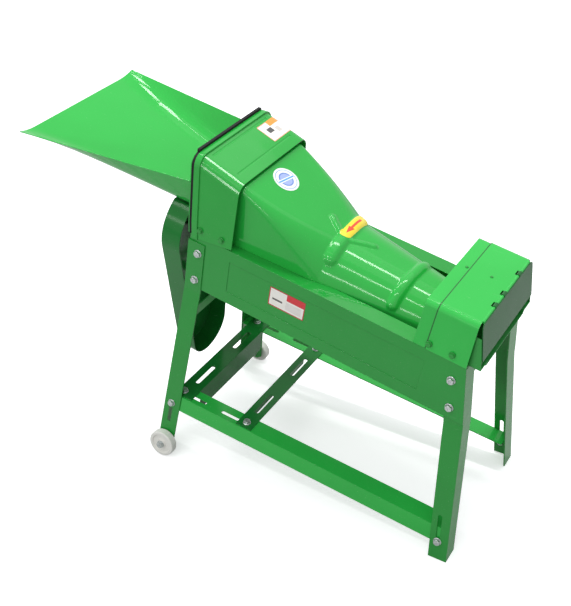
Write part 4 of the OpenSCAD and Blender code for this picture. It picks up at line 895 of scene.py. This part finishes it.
class SHELLER_OT_stage(bpy.types.Operator):
    """Adds the pale floor, the soft lights and the camera"""
    bl_idname = "sheller.stage"
    bl_label = "Set the stage"

    def execute(self, context):
        nothing_selected()
        bpy.ops.mesh.primitive_plane_add(size=FLOOR_SIZE, location=(0, 0, -FLOOR_GAP))
        floor = named("stage_floor")
        floor.data.materials.append(self.floor_finish())
        self.room()
        for lamp in LAMPS:
            self.lamp(*lamp)
        self.camera()
        return {"FINISHED"}

    def floor_finish(self):
        """Matt white paper: white with soft shadows to the camera, a middle tone for the light it gives."""
        material = bpy.data.materials.new("white_paper_floor")
        material.use_nodes = True
        tree = material.node_tree
        tree.nodes.clear()
        place = add(tree, "TexCoord")
        path = add(tree, "LightPath")
        cloud = add(tree, "TexNoise", {"Vector": (place, "Object"), "Scale": 1.1, "Detail": 2.0})
        paper = add(tree, "Mix", {0: (cloud, "Fac"), 6: linear("F4F4F4"), 7: linear("F8F8F9")},
                    data_type="RGBA")
        seen = add(tree, "BsdfDiffuse", {"Color": (paper, 2)})
        lift = add(tree, "Emission", {"Color": (1, 1, 1, 1), "Strength": FLOOR_LIFT})
        white = add(tree, "AddShader", {0: seen, 1: lift})
        dim = add(tree, "BsdfDiffuse", {"Color": linear("B4B5B4")})
        # Gloss paint is held back from showing the floor at full white, which would veil its green
        mirrored = add(tree, "Math", {0: (path, "Is Glossy Ray"), 1: FLOOR_MIRRORED}, operation="MULTIPLY")
        shown = add(tree, "Math", {0: (path, "Is Camera Ray"), 1: mirrored}, operation="MAXIMUM")
        mixed = add(tree, "MixShader", {0: shown, 1: dim, 2: white})
        add(tree, "OutputMaterial", {"Surface": mixed})
        return material

    def room(self):
        """Pale surroundings: white to the camera and in reflections, an even soft level on the object."""
        world = bpy.data.worlds.new("pale_room")
        bpy.context.scene.world = world
        world.use_nodes = True
        tree = world.node_tree
        tree.nodes.clear()
        path = add(tree, "LightPath")
        seen = add(tree, "Math", {0: (path, "Is Camera Ray"), 1: (path, "Is Transmission Ray")},
                   operation="MAXIMUM")
        mirrored = add(tree, "Math", {0: seen, 1: (path, "Is Glossy Ray")}, operation="MAXIMUM")
        soft = add(tree, "Background", {"Color": linear("F4F7FA"), "Strength": ROOM_LEVEL})
        white = add(tree, "Background", {"Color": (1, 1, 1, 1), "Strength": 1.0})
        both = add(tree, "MixShader", {0: mirrored, 1: soft, 2: white})
        add(tree, "OutputWorld", {"Surface": both})

    def lamp(self, name, place, target, size, power):
        """Area lamp that faces a target and that the camera doesn't see."""
        nothing_selected()
        turn = (Vector(target) - Vector(place)).to_track_quat("-Z", "Y").to_euler()
        bpy.ops.object.light_add(type="AREA", location=place, rotation=turn)
        lamp = bpy.context.object
        lamp.name = name
        lamp.data.shape = "RECTANGLE"
        lamp.data.size, lamp.data.size_y = size
        lamp.data.energy = power
        lamp.visible_camera = False

    def camera(self):
        """Camera at the photograph's angle, worked out from the machine's straight edges."""
        nothing_selected()
        bpy.ops.object.camera_add()
        cam = bpy.context.object
        cam.name = "photo_camera"
        right, down, ahead = Vector(CAMERA_RIGHT), Vector(CAMERA_DOWN), Vector(CAMERA_AHEAD)
        turn = Matrix((right, -down, -ahead)).transposed().to_4x4()
        cam.matrix_world = Matrix.Translation(Vector(CAMERA_PLACE) + Vector((body_shift(), 0, 0))) @ turn
        cam.data.sensor_fit = "HORIZONTAL"
        cam.data.sensor_width = SENSOR
        cam.data.lens = SENSOR * CAMERA_FOCAL / FRAME_W
        cam.data.shift_x = (FRAME_W / 2 - CAMERA_CENTRE[0]) / FRAME_W
        cam.data.shift_y = (CAMERA_CENTRE[1] - FRAME_H / 2) / FRAME_W
        cam.data.clip_end = 50
        bpy.context.scene.camera = cam


class SHELLER_PT_panel(bpy.types.Panel):
    """Lists the sheller's sizes, colours and steps in the sidebar"""
    bl_idname = "SHELLER_PT_panel"
    bl_label = "Corn Sheller"
    bl_space_type = "VIEW_3D"
    bl_region_type = "UI"
    bl_category = "Sheller"

    def draw(self, context):
        for name in SHELLER_PG_settings.__annotations__:
            self.layout.prop(context.scene.sheller, name)
        for operator in OPERATORS:
            self.layout.operator(operator.bl_idname)


OPERATORS = (SHELLER_OT_paint_sheet, SHELLER_OT_paint_frame, SHELLER_OT_finish_metal,
             SHELLER_OT_finish_soft,
             SHELLER_OT_cover, SHELLER_OT_flat_labels, SHELLER_OT_cover_labels, SHELLER_OT_fasteners,
             SHELLER_OT_stage)
CLASSES = (SHELLER_PG_settings,) + OPERATORS + (SHELLER_PT_panel,)


def register():
    for item in CLASSES:
        bpy.utils.register_class(item)
    bpy.types.Scene.sheller = PointerProperty(type=SHELLER_PG_settings)


def unregister():
    del bpy.types.Scene.sheller
    for item in reversed(CLASSES):
        bpy.utils.unregister_class(item)


def main():
    register()
    bpy.context.scene.view_settings.view_transform = "Standard"
    bpy.ops.sheller.paint_sheet()
    bpy.ops.sheller.paint_frame()
    bpy.ops.sheller.finish_metal()
    bpy.ops.sheller.finish_soft()
    bpy.ops.sheller.cover()
    bpy.ops.sheller.flat_labels()
    bpy.ops.sheller.cover_labels()
    bpy.ops.sheller.fasteners()
    bpy.ops.sheller.stage()


if __name__ == "__main__":
    main()
